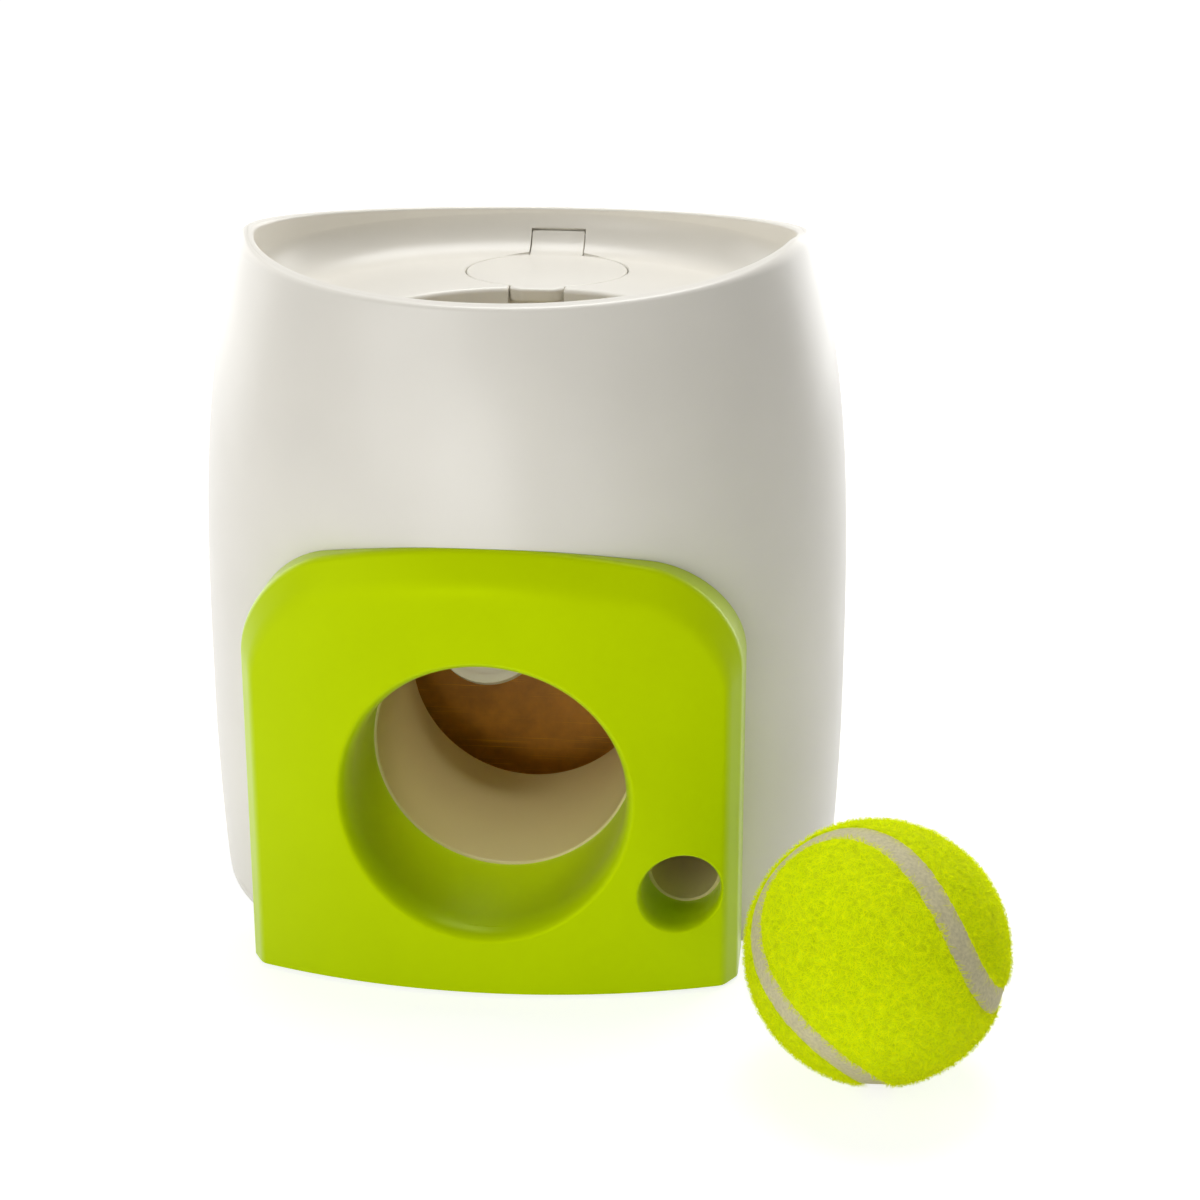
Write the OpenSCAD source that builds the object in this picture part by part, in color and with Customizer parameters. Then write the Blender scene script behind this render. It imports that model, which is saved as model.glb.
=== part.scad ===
// Treat dispenser worked by a ball. A ball dropped through the bowl swings a paddle, the paddle's
// sector gear turns a pocket drum, and the drum lets one portion of treats run out at the front.
// Millimetres, +Z up, front towards -Y. The origin is on the floor under the axis of the body.

/* [Ball] */
// Diameter of the ball over its felt
ball_d = 65; // [62:0.5:67]
// Play of the ball in the tunnel, on the diameter
tunnel_play = 5; // [3:0.5:6]
// Play of the ball in the drop tube, on the diameter
drop_play = 4; // [3:0.5:6]
// Thickness of the felt
felt_t = 2.2; // [1.6:0.1:3]
// Width of the bare seam between the felt panels
seam_w = 5.6; // [3.5:0.1:6.5]
// Wall of the rubber core
core_wall = 3.3; // [2.5:0.1:5]
// Resting place of the ball, to the right of the body's axis
ball_x = 100.5; // [98:0.5:130]
// Resting place of the ball, in front of the body's axis
ball_front = 122; // [120:0.5:150]

/* [Body] */
// Widest diameter of the barrel
body_d = 180; // [178:1:190]
// Diameter at the tips of the rim
rim_d = 154; // [152:1:160]
// Diameter at the foot
foot_d = 176; // [174:1:178]
// Height of the rim's tips, left and right
body_h = 186; // [182:1:195]
// Height of the widest section
belly_z = 55; // [45:1:65]
// Slope of the rim from its tips to the front and to the rear, in degrees
rim_slope = 6.05; // [3:0.05:6.5]
// Distance of the rim's tips in front of the axis
tip_front = 15; // [10:0.5:18]
// Wall of the barrel
wall = 2.2; // [1.8:0.1:3]

/* [Bowl] */
// Depth of the bowl's floor under the rim's tips
bowl_depth = 22.5; // [20:0.5:24]
// Wall of the tray
tray_wall = 2.2; // [1.8:0.1:2.6]
// Fillet between the bowl's floor and its wall
bowl_fillet = 11; // [9:0.5:12]
// Diameter of the ball mouth
mouth_d = 85; // [80:1:86]
// Distance of the mouth's centre in front of the axis
mouth_front = 22; // [20:0.5:23]
// Depth of the skirt below the bowl's floor
skirt_drop = 13.5; // [12:0.5:16]

/* [Hatch] */
// Diameter of the lid
lid_d = 47; // [44:0.5:48]
// Thickness of the lid
lid_t = 2.4; // [2:0.1:2.8]
// Distance of the lid's centre behind the axis
lid_back = 45.4; // [45:0.1:47]
// Width of the hinge arm
arm_w = 16; // [14:0.5:20]
// Width of the finger tab
tab_w = 15.4; // [12:0.2:18]
// Reach of the finger tab past the lid's edge
tab_reach = 3.4; // [2.5:0.1:4.5]
// Diameter of the hinge pin
hatch_pin_d = 1.6; // [1.2:0.1:1.8]
// Width of the ledge that the lid rests on
lid_ledge = 4; // [3:0.1:4.5]

/* [Front panel] */
// Width of the panel
panel_w = 130; // [126:1:134]
// Height of the panel's top edge
panel_h = 121; // [118:0.5:126]
// Radius of the two top corners
panel_corner = 24; // [20:1:30]
// Radius of the arched top edge
panel_arch = 170; // [150:5:250]
// How far the panel stands proud of the widest section
panel_stand = 4; // [3:0.25:6]
// Radius of the curved face, in plan
face_r = 180; // [160:5:220]
// Width of the bevel along the face's upper edge
bevel_w = 9; // [7:0.5:11]
// Width of the bevel along the face's two sides
bevel_side = 3.5; // [3:0.5:8]
// Depth of the bevel
bevel_depth = 4.6; // [3.5:0.1:6.5]
// Wall of the panel
panel_t = 2.4; // [2:0.1:3]
// Step between the ball exit's collar and the tunnel behind it, on the radius
exit_step = 0.7; // [0.3:0.1:1]
// Flare of the ball exit, on the radius
exit_flare = 3; // [2:0.25:5]
// Height of the treat hole's centre
treat_z = 28.5; // [27:0.5:34]

/* [Passages] */
// Distance of the drop tube's centre in front of the axis
drop_front = 15.5; // [14:0.25:17]
// Wall of the drop tube and the tunnel
tube_wall = 1.8; // [1.5:0.1:2.2]
// Height of the tunnel's underside over the base plate
tunnel_lift = 13.2; // [12:0.2:15]
// Length of the tunnel
tunnel_l = 56; // [54:1:62]
// Fall of the tunnel towards the front, in degrees
tunnel_fall = 2.5; // [1:0.25:3]
// Radius of the treat chute, inside
chute_r = 9; // [8:0.25:9.5]
// Wall of the treat chute
chute_wall = 1.4; // [1.2:0.1:1.8]
// Fall of the treat chute, in degrees
chute_fall = 15.5; // [14:0.25:16]

/* [Mechanism] */
// Diameter of the paddle's shaft and the drum's axle
shaft_d = 4; // [3:0.1:4.4]
// Diameter of the paddle's round end
paddle_w = 32; // [26:1:34]
// Length of the paddle from its pivot
paddle_l = 59; // [52:1:60]
// Thickness of the paddle
paddle_t = 2.4; // [2:0.1:3]
// Lean of the resting paddle from the vertical, in degrees
paddle_lean = 30.5; // [28:0.5:32]
// Gear module
gear_module = 0.8; // [0.75:0.05:0.85]
// Teeth of the full circle that the sector is cut from
sector_teeth = 70; // [64:2:72]
// Teeth of the pinion
pinion_teeth = 14; // [13:1:15]
// Thickness of the gears
gear_t = 4; // [3:0.25:5]
// Radius of the dosing drum
drum_r = 13; // [12:0.25:13.5]
// Length of the dosing drum
drum_l = 16; // [14:0.5:16.5]
// Width of the mechanism frame
frame_w = 80; // [76:1:82]
// Thickness of the frame's plate
frame_t = 3; // [2.5:0.25:4]
// Radius of the return weight
weight_r = 4; // [3:0.25:4.5]
// Arm from the pivot to the return weight
weight_arm = 20; // [17:0.5:21]
// Wall of the hopper
hopper_wall = 1.5; // [1.2:0.1:2]

/* [Base] */
// Thickness of the base plate
base_t = 3; // [2.5:0.25:4]
// Height of the base ring under the barrel
ring_h = 5; // [4.5:0.25:6.5]
// Height of the plate over the floor
foot_lift = 1; // [0.8:0.1:1.5]
// Mean radius of the rubber ring underneath
foot_circle = 71; // [66:0.5:72]
// Width of the rubber ring
foot_w = 8; // [5:0.5:9]
// Radius of a screw's shank
screw_r = 1.5; // [1.2:0.1:1.75]

/* [Clearances] */
// Gap between the tray and the barrel, and between the panel and the barrel
seat_gap = 0.15; // [0.1:0.05:0.3]
// Gap round the lid
lid_gap = 0.35; // [0.25:0.05:0.5]
// Radial gap of a turning shaft in its bush
run_gap = 0.05; // [0.02:0.01:0.08]
// Radial gap of a part fixed on a shaft or pressed in a hole
fix_gap = 0.02; // [0.01:0.01:0.04]
// Gap between the drum and the hopper's outlet
drum_gap = 0.5; // [0.4:0.05:0.8]
// Backlash of the gear pair
backlash = 0.25; // [0.2:0.01:0.3]

/* [Hidden] */
$fn = 96;

white = "#f2efe7";
lime = "#b4d600";
brown = "#6b4a20";
steel = "#a9adb2";
acetal = "#e4dfcf";
rubber = "#3a3a3c";
far = 400;

// Heights
plate_top = foot_lift + base_t;
floor_z = body_h - bowl_depth;
skirt_z = floor_z - skirt_drop;
ledge_w = wall + seat_gap;
ledge_t = 1;
over_rim_h = 4;
bowl_over = 6;

// The barrel's radius at a height
shoulder = 3.26;
function body_r(z) = z > belly_z
    ? body_d / 2 - (body_d - rim_d) / 2 * pow((z - belly_z) / (body_h - belly_z), shoulder)
    : body_d / 2 - (body_d - foot_d) / 2 * pow((belly_z - z) / belly_z, 2);
function tray_r(z) = body_r(z) - wall - seat_gap;
// Heights between two levels, for profiles that follow the barrel
function levels(z0, z1, n) = [for (i = [0 : n]) z0 + (z1 - z0) * i / n];
function arc(c, r, a0, a1, n) = [for (i = [0 : n]) c + r * [cos(a0 + (a1 - a0) * i / n),
    sin(a0 + (a1 - a0) * i / n)]];

// Ball passages
passage_r = (ball_d + tunnel_play) / 2;
drop_r = (ball_d + drop_play) / 2;
tube_r = drop_r + tube_wall;
pipe_r = passage_r + tube_wall;
panel_front = body_d / 2 + panel_stand;
exit_z = plate_top + tunnel_lift + pipe_r;
exit_r = passage_r + exit_step;
drop_y = -drop_front;
tube_front_gap = 0.2;
tunnel_y = drop_y - tube_r - tube_front_gap;
tunnel_end = tunnel_y + tunnel_l;
mouth_y = -mouth_front;
funnel_drop = 11.5;
sleeve_h = 7;
funnel_wall = 2;
tube_top = floor_z - tray_wall - funnel_drop;
sleeve_r = tube_r + seat_gap + tray_wall;
collar_wall = 2;
exit_soft = 10;
panel_hole_gap = 1.2;

// Treat passage
chute_out = chute_r + chute_wall;
chute_gap = 3;
treat_x = pipe_r + chute_gap + chute_out;
treat_step = 1;
treat_r = chute_r + treat_step;
treat_flare = 1.2;
treat_soft = 4;
chute_y = -70;
chute_end = 60.5;
chute_open = 25;
chute_side = 2;

// Paddle pivot, gear pair and drum
pivot_gap = 3.2;
pivot_y = drop_y + tube_r + pivot_gap;
pivot_rise = 15;
pivot_z = exit_z + passage_r + pivot_rise;
swing_stop = 26;
paddle_x = -12;
hub_w = 20;
slot_play = 2;
slot_front = 8;
weight_out = 4;
lever_h = 6;
weight_wall = 2;
lip_w = 2.4;
lip_h = 1.2;
hub_wall = 2.5;
hub_r = shaft_d / 2 + hub_wall;
// The axle lies where the drum's outer corner just clears the barrel, on the gears' centre distance
gear_centres = gear_module * (sector_teeth + pinion_teeth) / 2;
drum_clear = 1.6;
drum_x = treat_x - drum_l / 2;
drum_reach = body_r(pivot_z) - wall - drum_clear;
axle_y = sqrt(pow(drum_reach, 2) - pow(drum_x + drum_l, 2)) - drum_r;
gear_line = -acos((axle_y - pivot_y) / gear_centres);
axle_z = pivot_z + gear_centres * sin(gear_line);
pressure = 20;
addendum = 0.85;
dedendum = 1.25;
tooth_bite = 0.6;
sector_span = 58;
plate_y = pivot_y + 3;
plate_h = pivot_z - 8;
ear_t = 4;
ear_r = 8;
ear_foot = 10;
ear_x = frame_w / 2 - ear_t;
arm_x = ear_x - ear_t;
flange_l = 15;
bush_wall = 1.5;
bush_r = shaft_d / 2 + bush_wall;
bush_lip = 1;
lip_out = 1.3;
bush_lip_r = bush_r + lip_out;
side_play = 0.3;
gear_x = -ear_x - ear_t - bush_lip - side_play - gear_t;
ring_wall = 2;
collar_r = shaft_d / 2 + ring_wall;
collar_l = 3;
pocket_wall = 1.6;
pocket_share = 0.75;
shaft_end = 2;
shaft_left = gear_x - shaft_end;
shaft_right = ear_x + ear_t + bush_lip + side_play + collar_l + shaft_end;
axle_right = drum_x + drum_l + side_play + collar_l;

// Hatch
lid_r = lid_d / 2;
seat_r = lid_r + lid_gap;
opening_r = lid_r - lid_ledge;
boss_wall = 2.4;
boss_r = seat_r + boss_wall;
bowl_z = floor_z + bowl_fillet;
fillet_r = tray_r(bowl_z) - tray_wall - bowl_fillet;
pin_rise = 4.5;
hatch_z = floor_z + pin_rise;
hatch_y = fillet_r + sqrt(pow(bowl_fillet + lid_t / 2, 2) - pow(bowl_z - hatch_z, 2));
knuckle_wall = 0.7;
knuckle_r = hatch_pin_d / 2 + knuckle_wall;
arm_start = 1;
pin_block = 4;
block_gap = 0.4;
pin_grip = 3;
arm_relief = 1.1;
lid_draft = 0.5;
seat_play = 0.2;
tab_t = 4;
tab_y = lid_back - lid_r - tab_reach + tab_t / 2;
notch_drop = 10;
notch_wall = 2;

// Hopper
boss_drop = 3.3;
hopper_gap = 1;
hopper_top = floor_z - tray_wall - boss_drop;
hopper_r = tray_r(hopper_top) - tray_wall - hopper_gap;
hopper_y = lid_back - opening_r + hopper_gap / 5;
hopper_left = -48;
outlet_play = 1;
outlet_half = drum_l / 2 + outlet_play;
outlet_depth = drum_r - outlet_play;
// The hopper's floor slopes to the outlet, and clears the return weight at the end of its swing
weight_gap = 2.5;
weight_end = paddle_x + hub_w / 2 + weight_out;
weight_top = pivot_z + weight_arm * sin(swing_stop) + weight_r + weight_gap;
left_slope = 20.5;
front_slope = 64;
rear_slope = 46;
outlet_left = treat_x - outlet_half - hopper_wall;
left_z = weight_top + (weight_end - hopper_left) * tan(left_slope);
outlet_z = weight_top - (outlet_left - weight_end) * tan(left_slope);
side_z = outlet_z + 4 * hopper_wall;
front_z = side_z + (axle_y - outlet_depth - hopper_y) * tan(front_slope);
rear_z = side_z + (hopper_r + hopper_gap - axle_y - outlet_depth) * tan(rear_slope);

// Screws, pegs and foot ring
ring_edge = 1.5;
spigot_r = body_r(ring_h) - wall - seat_gap;
spigot_h = 5;
screw_turn = 35;
post_in = 3.4;
screw_circle = body_r(ring_h) - wall - post_in;
post_r = 4.6;
post_h = 22;
head_r = 2 * screw_r;
head_h = 2;
screw_short = 0.5;
post_top = 3;
post_short = 6;
loose_gap = 4 * run_gap;
peg_gap = 4 * fix_gap;
foot_h = foot_lift + 2;
peg_r = 2.5;
peg_in = 7;
peg_low = 13;
peg_drop = 24;
peg_through = 3;
frame_screw_x = 30;
frame_screw_y = plate_y + frame_t + 7;
lug_out = 5.5;
hopper_screws_at = [[hopper_left - lug_out, 38], [treat_x + outlet_half + hopper_wall + 5, 31]];
lug_t = 2.5;
lug_r = 4.5;
lug_l = 7;
lug_drop = 6;
rib_t = 3;
cradle_half = 26;
cradle_h = 16;
cradle_front = 10;
cradle_rear = 12;
chute_rib_y = 16;

// Helpers for shapes along X and Y
module rod_x(y, z, x0, x1, r) translate([x0, y, z]) rotate([0, 90, 0]) cylinder(r = r, h = x1 - x0);
module rod_y(x, z, y0, y1, r) translate([x, y0, z]) rotate([-90, 0, 0]) cylinder(r = r, h = y1 - y0);
module along_x(x0, x1) translate([x0, 0, 0]) rotate([90, 0, 90]) linear_extrude(x1 - x0) children();
module along_y(y0, y1) translate([0, y1, 0]) rotate([90, 0, 0]) linear_extrude(y1 - y0) children();
// A revolve about an axis along +Y, drawn as radius and Y
module turn_y(x, z) translate([x, 0, z]) rotate([-90, 0, 0]) rotate_extrude() children();
module tunnel_rod(r) translate([0, tunnel_y, exit_z]) rotate([tunnel_fall, 0, 0])
    translate([0, -far / 2, 0]) rotate([-90, 0, 0]) cylinder(r = r, h = far);
module chute_rod(r) translate([treat_x, chute_y, treat_z]) rotate([chute_fall, 0, 0])
    translate([0, -far / 2, 0]) rotate([-90, 0, 0]) cylinder(r = r, h = far);
module slab_y(y0, y1) translate([-far / 2, y0, -far / 2]) cube([far, y1 - y0, far]);
// Everything above the rim, which falls from two tips to the front and to the rear
module over_rim() along_x(-far / 2, far / 2) translate([-tip_front, body_h])
    polygon([[0, 0], [far, -far * tan(rim_slope)], [far, far], [-far, far], [-far, -far * tan(rim_slope)]]);
module at_posts() for (sx = [-1, 1], sy = [-1, 1])
    translate([sx * screw_circle * cos(screw_turn), sy * screw_circle * sin(screw_turn), 0]) children();

// Barrel with a ledge for the tray, screw posts, and holes for the panel's collars and pegs
module body_shell() color(white) difference() {
    union() {
        rotate_extrude() polygon(concat(
            [for (z = levels(ring_h, body_h + over_rim_h, 16)) [body_r(z), z]],
            [for (z = levels(body_h + over_rim_h, skirt_z, 5)) [body_r(z) - wall, z]],
            [[body_r(skirt_z) - wall - ledge_w, skirt_z],
             [body_r(skirt_z) - wall - ledge_w, skirt_z - ledge_t]],
            [for (z = levels(skirt_z - ledge_t - ledge_w, ring_h, 10)) [body_r(z) - wall, z]]));
        intersection() {
            at_posts() translate([0, 0, ring_h]) cylinder(r = post_r, h = post_h);
            barrel_core(-wall / 2, ring_h, ring_h + post_h);
        }
    }
    over_rim();
    at_posts() translate([0, 0, ring_h - 1]) cylinder(r = screw_r + fix_gap, h = post_h - post_top);
    rod_y(0, exit_z, -far, 0, exit_r + collar_wall + panel_hole_gap);
    rod_y(treat_x, treat_z, -far, 0, treat_r + collar_wall + panel_hole_gap);
    for (p = pegs()) rod_y(p[0], p[1], -far, 0, peg_r + peg_gap);
}

// Solid of the barrel's outside, grown by an allowance, between two heights
module barrel_core(grow, z0, z1) rotate_extrude() polygon(concat(
    [[0, z0]], [for (z = levels(z0, z1, 10)) [body_r(z) + grow, z]], [[0, z1]]));

// Bowl let into the rim: floor, ball funnel with a sleeve for the drop tube, hatch seat and hinge
module top_tray() color(white) difference() {
    union() {
        tray_block();
        hull() {
            translate([0, mouth_y, floor_z - tray_wall]) cylinder(r = mouth_d / 2 + funnel_wall, h = 0.5);
            translate([0, drop_y, tube_top]) cylinder(r = sleeve_r, h = 2);
        }
        translate([0, drop_y, tube_top - sleeve_h]) cylinder(r = sleeve_r, h = sleeve_h + 1);
        translate([0, lid_back, hopper_top]) cylinder(r = boss_r, h = boss_drop + 1);
        intersection() {
            translate([-arm_w / 2 - lid_gap - pin_grip, fillet_r - pin_block, hopper_top])
                cube([arm_w + 2 * (lid_gap + pin_grip), far, hatch_z + pin_block - hopper_top]);
            barrel_core(-wall - seat_gap - block_gap, skirt_z, hatch_z + 2 * pin_block);
        }
        finger_notch(notch_wall, notch_drop + notch_wall);
        for (p = hopper_screws_at) translate([p[0], p[1], hopper_top - lug_drop + lug_t])
            cylinder(r = post_r, h = lug_drop - lug_t + boss_drop + 1);
    }
    bowl_void();
    over_rim();
    mouth_void();
    // Seat, opening, finger notch and hinge pocket of the hatch
    translate([0, lid_back, floor_z - lid_t - seat_play]) cylinder(r = seat_r, h = lid_t + bowl_fillet);
    translate([0, lid_back, 0]) cylinder(r = opening_r, h = far);
    finger_notch(0, notch_drop);
    hinge_space(lid_gap, arm_w / 2 + lid_gap);
    intersection() {
        rod_x(hatch_y, hatch_z, -arm_w / 2 - lid_gap, arm_w / 2 + lid_gap, knuckle_r + arm_relief);
        slab_y(0, hatch_y);
    }
    rod_x(hatch_y, hatch_z, -arm_w / 2 - pin_grip, arm_w / 2 + pin_grip, hatch_pin_d / 2 + fix_gap);
    for (p = hopper_screws_at) translate([p[0], p[1], skirt_z])
        cylinder(r = screw_r + fix_gap, h = hopper_top + boss_drop - skirt_z);
}

// Notch under the finger tab, between the mouth and the hatch opening
module finger_notch(grow, drop) {
    half = tab_w / 2 + lid_gap + grow;
    end = lid_back - opening_r - notch_wall + grow;
    translate([-half, drop_y, floor_z - drop]) cube([2 * half, end - drop_y, drop + 1]);
}

// Tray with its bowl still filled
module tray_block() {
    skirt_in = fillet_r + bowl_fillet + 0.9;
    under_r = bowl_fillet + tray_wall;
    under_a = -acos((skirt_in - fillet_r) / under_r);
    rotate_extrude() polygon(concat(
        [[0, floor_z - tray_wall]],
        arc([fillet_r, bowl_z], under_r, -90, under_a, 8),
        [[tray_r(skirt_z) - tray_wall, skirt_z]],
        [for (z = levels(skirt_z, body_h + over_rim_h, 8)) [tray_r(z), z]],
        [[0, body_h + over_rim_h]]));
}

// Space inside the bowl
module bowl_void() rotate_extrude() polygon(concat(
    [[0, floor_z]],
    arc([fillet_r, bowl_z], bowl_fillet, -90, 0, 10),
    [for (z = levels(bowl_z + 1, body_h + bowl_over, 4)) [tray_r(z) - tray_wall, z]],
    [[0, body_h + bowl_over]]));

// Funnel of the ball mouth, the drop tube's bore and its socket
module mouth_void() {
    hull() {
        translate([0, mouth_y, floor_z]) cylinder(r = mouth_d / 2, h = 0.5);
        translate([0, drop_y, tube_top]) cylinder(r = drop_r, h = 0.5);
    }
    translate([0, drop_y, skirt_z - far]) cylinder(r = drop_r, h = far + tube_top + 0.25 - skirt_z);
    translate([0, drop_y, tube_top - sleeve_h - 1]) cylinder(r = tube_r + seat_gap, h = sleeve_h + 1);
}

// Space of the hinge arm, which follows the bowl's fillet up the rear wall
module hinge_space(grow, half) {
    intersection() {
        rod_x(fillet_r, bowl_z, -half, half, bowl_fillet + lid_t + grow);
        translate([-half, fillet_r + arm_start, 0]) cube([2 * half, far, hatch_z]);
    }
    rod_x(hatch_y, hatch_z, -half, half, knuckle_r + grow);
}

// Round lid with a finger tab at the front and a hinge arm at the rear
module hatch_lid() color(white) difference() {
    union() {
        translate([0, lid_back, floor_z - lid_t]) cylinder(r1 = lid_r - lid_draft, r2 = lid_r, h = lid_t);
        difference() {
            hinge_space(0, arm_w / 2);
            rod_x(fillet_r, bowl_z, -arm_w, arm_w, bowl_fillet);
            translate([0, lid_back, 0]) cylinder(r = opening_r, h = far);
        }
        rod_x(hatch_y, hatch_z, -arm_w / 2, arm_w / 2, knuckle_r);
        translate([-tab_w / 2, tab_y, floor_z - tab_t])
            cube([tab_w, lid_back - opening_r - notch_wall - lid_gap - tab_y, tab_t]);
        rod_x(tab_y, floor_z - tab_t / 2, -tab_w / 2, tab_w / 2, tab_t / 2);
    }
    rod_x(hatch_y, hatch_z, -arm_w, arm_w, hatch_pin_d / 2 + run_gap);
}

module hatch_pin() color(steel)
    rod_x(hatch_y, hatch_z, -arm_w / 2 - pin_grip, arm_w / 2 + pin_grip, hatch_pin_d / 2);

// Front panel: outline with two round top corners, laid on a face that curves in plan
function face_y(x) = face_r - panel_front - sqrt(face_r * face_r - x * x);
function panel_outline(w, top, corner, foot, n) = [for (p = concat(
    [for (i = [0 : 8]) [-w + 2 * w * i / 8, foot]],
    arc([w - corner, top - corner], corner, 0, 90, n),
    [for (i = [1 : 5]) [(w - corner) * (1 - i / 3), top]],
    arc([corner - w, top - corner], corner, 90, 180, n)))
    [p[0], p[1] - max(0, p[1]) / top * p[0] * p[0] / (2 * panel_arch)]];
function on_face(points, depth) = [for (p = points) [p[0], face_y(p[0]) + depth, p[1]]];
function at_back(points, y) = [for (p = points) [p[0], y, p[1]]];
function pegs() = [for (sx = [-1, 1], z = [peg_low, panel_h - peg_drop]) [sx * (panel_w / 2 - peg_in), z]];

// Outside of the panel, drawn in by an inset
module panel_block(inset, foot, back) {
    w = panel_w / 2 - inset;
    top = panel_h - inset;
    corner = panel_corner - inset;
    rim = panel_outline(w, top, corner, foot, 8);
    face = panel_outline(w - bevel_side, top - bevel_w, corner - bevel_side, foot, 8);
    points = concat(on_face(face, inset), on_face(rim, bevel_depth + inset), at_back(rim, back));
    hull() polyhedron(points, [[for (i = [0 : len(points) - 1]) i]]);
}

module front_panel() color(lime) difference() {
    union() {
        difference() {
            panel_block(0, foot_lift, -body_d / 5);
            panel_block(panel_t, -far / 8, 0);
            barrel_core(seat_gap, -1, panel_h + 20);
        }
        intersection() {
            panel_block(0, foot_lift, -body_d / 5);
            union() {
                rod_y(0, exit_z, -far, tunnel_y, exit_r + collar_wall);
                rod_y(treat_x, treat_z, -far, chute_y, treat_r + collar_wall);
                for (p = pegs()) rod_y(p[0], p[1], face_y(p[0]) + panel_t / 2, peg_end(p), peg_r);
            }
        }
    }
    flared_bore(0, exit_z, exit_r, exit_flare, exit_soft, tunnel_y + 1);
    flared_bore(treat_x, treat_z, treat_r, treat_flare, treat_soft, chute_y + 1);
}
function peg_end(p) = -sqrt(pow(body_r(p[1]) - wall, 2) - p[0] * p[0]) + peg_through;

// Bore that opens in a quarter-round flare at the panel's face
module flared_bore(x, z, r, flare, length, end) {
    front = face_y(x);
    turn_y(x, z) polygon(concat(
        [[0, end], [r, end]],
        [for (i = [0 : 6]) [r + flare * (1 - cos(15 * i)), front + length * (1 - sin(15 * i))]],
        [[r + flare, front - 6], [0, front - 6]]));
}

// Base: plate with a ring that closes the barrel, cradle ribs for the tunnel and the chute
module base_plate() color(white) difference() {
    union() {
        rotate_extrude() polygon([[0, foot_lift], [body_r(0) - ring_edge, foot_lift],
            [body_r(0), foot_lift + ring_edge], [body_r(ring_h), ring_h], [spigot_r, ring_h],
            [spigot_r, ring_h + spigot_h], [spigot_r - wall, ring_h + spigot_h],
            [spigot_r - wall, plate_top], [0, plate_top]]);
        difference() {
            for (y = [tunnel_y + cradle_front, tunnel_end - cradle_rear])
                translate([-cradle_half, y, plate_top - 1])
                    cube([2 * cradle_half, rib_t, tunnel_lift + cradle_h]);
            tunnel_rod(pipe_r + seat_gap);
        }
        difference() {
            translate([treat_x - chute_r, chute_rib_y, plate_top - 1])
                cube([2 * chute_r, rib_t, far / 4]);
            chute_rod(chute_out + seat_gap);
            translate([0, chute_y, treat_z]) rotate([chute_fall, 0, 0])
                translate([0, 0, -chute_r]) cube([far, far, far]);
        }
    }
    at_posts() translate([0, 0, plate_top]) cylinder(r = post_r + 2 * seat_gap, h = far);
    at_posts() translate([0, 0, -1]) cylinder(r = screw_r + loose_gap, h = far);
    at_posts() translate([0, 0, -1]) cylinder(r = head_r + loose_gap, h = foot_lift + head_h / 2 + 1);
    rotate_extrude() translate([foot_circle - foot_w / 2 - seat_gap, 0])
        square([foot_w + 2 * seat_gap, foot_h]);
    for (sx = [-1, 1]) translate([sx * frame_screw_x, frame_screw_y, -1])
        cylinder(r = screw_r + fix_gap, h = far);
}

// Rubber ring that the dispenser stands on, let into a groove of the plate
module foot_ring() color(rubber) rotate_extrude() translate([foot_circle - foot_w / 2, 0])
    square([foot_w, foot_h]);

// A screw with a cheese head, drawn head down from its bearing face
module screw(length) {
    translate([0, 0, -head_h / 2]) cylinder(r = head_r, h = head_h / 2);
    translate([0, 0, -0.1]) cylinder(r = screw_r, h = length);
}

module base_screws() color(steel) at_posts()
    translate([0, 0, foot_lift + head_h / 2]) screw(post_h - post_short);

// Drop tube from the funnel to the tunnel, slotted at the rear for the paddle
module drop_tube() color(white) difference() {
    translate([0, drop_y, exit_z + 2]) cylinder(r = tube_r, h = tube_top - exit_z - 2);
    translate([0, drop_y, 0]) cylinder(r = drop_r, h = far);
    tunnel_rod(pipe_r + seat_gap);
    paddle_slot();
}
// Room for the paddle, at the rear of the drop tube and in the tunnel's roof
module paddle_slot() {
    half = paddle_w / 2 + slot_play;
    translate([paddle_x - half, drop_y + slot_front, exit_z + passage_r / 3])
        cube([2 * half, far, pivot_z + hub_r + 2 * slot_play - exit_z - passage_r / 3]);
}

// Tunnel that the ball rolls out through, open above where the drop tube stands on it
module ball_tunnel() color(white) difference() {
    intersection() {
        tunnel_rod(pipe_r);
        slab_y(tunnel_y, tunnel_end);
    }
    tunnel_rod(passage_r);
    translate([0, drop_y, exit_z]) cylinder(r = drop_r, h = far);
    paddle_slot();
}

// Trough that leads the treats from under the drum to the treat hole
module treat_chute() color(white) difference() {
    intersection() {
        chute_rod(chute_out);
        slab_y(chute_y, chute_end);
    }
    intersection() {
        chute_rod(chute_r);
        slab_y(chute_y - 1, chute_end - chute_wall);
    }
    translate([0, chute_y, treat_z]) rotate([chute_fall, 0, 0]) translate([0, chute_open, chute_side])
        cube([far, far, far]);
}

// Outline of the hopper seen from the front and from the side, drawn in by an inset
module hopper_front(inset) {
    left = hopper_left + inset;
    right = treat_x + outlet_half + hopper_wall - inset;
    outlet = outlet_left + inset;
    polygon([[left, far], [left, left_z + inset], [outlet, outlet_z + inset],
        [outlet, axle_z], [right, axle_z], [right, far]]);
}
module hopper_side(inset) {
    front = hopper_y + inset;
    outlet = axle_y - outlet_depth + inset;
    back = axle_y + outlet_depth - inset;
    polygon([[front, far], [front, front_z + inset], [outlet, side_z + inset],
        [outlet, axle_z], [back, axle_z], [back, side_z + inset],
        [hopper_r + hopper_gap, rear_z + inset], [hopper_r + hopper_gap, far]]);
}
module hopper_block(inset, top) intersection() {
    along_y(0, far) hopper_front(inset);
    along_x(-far, far) hopper_side(inset);
    cylinder(r = hopper_r - inset, h = top);
}

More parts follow.
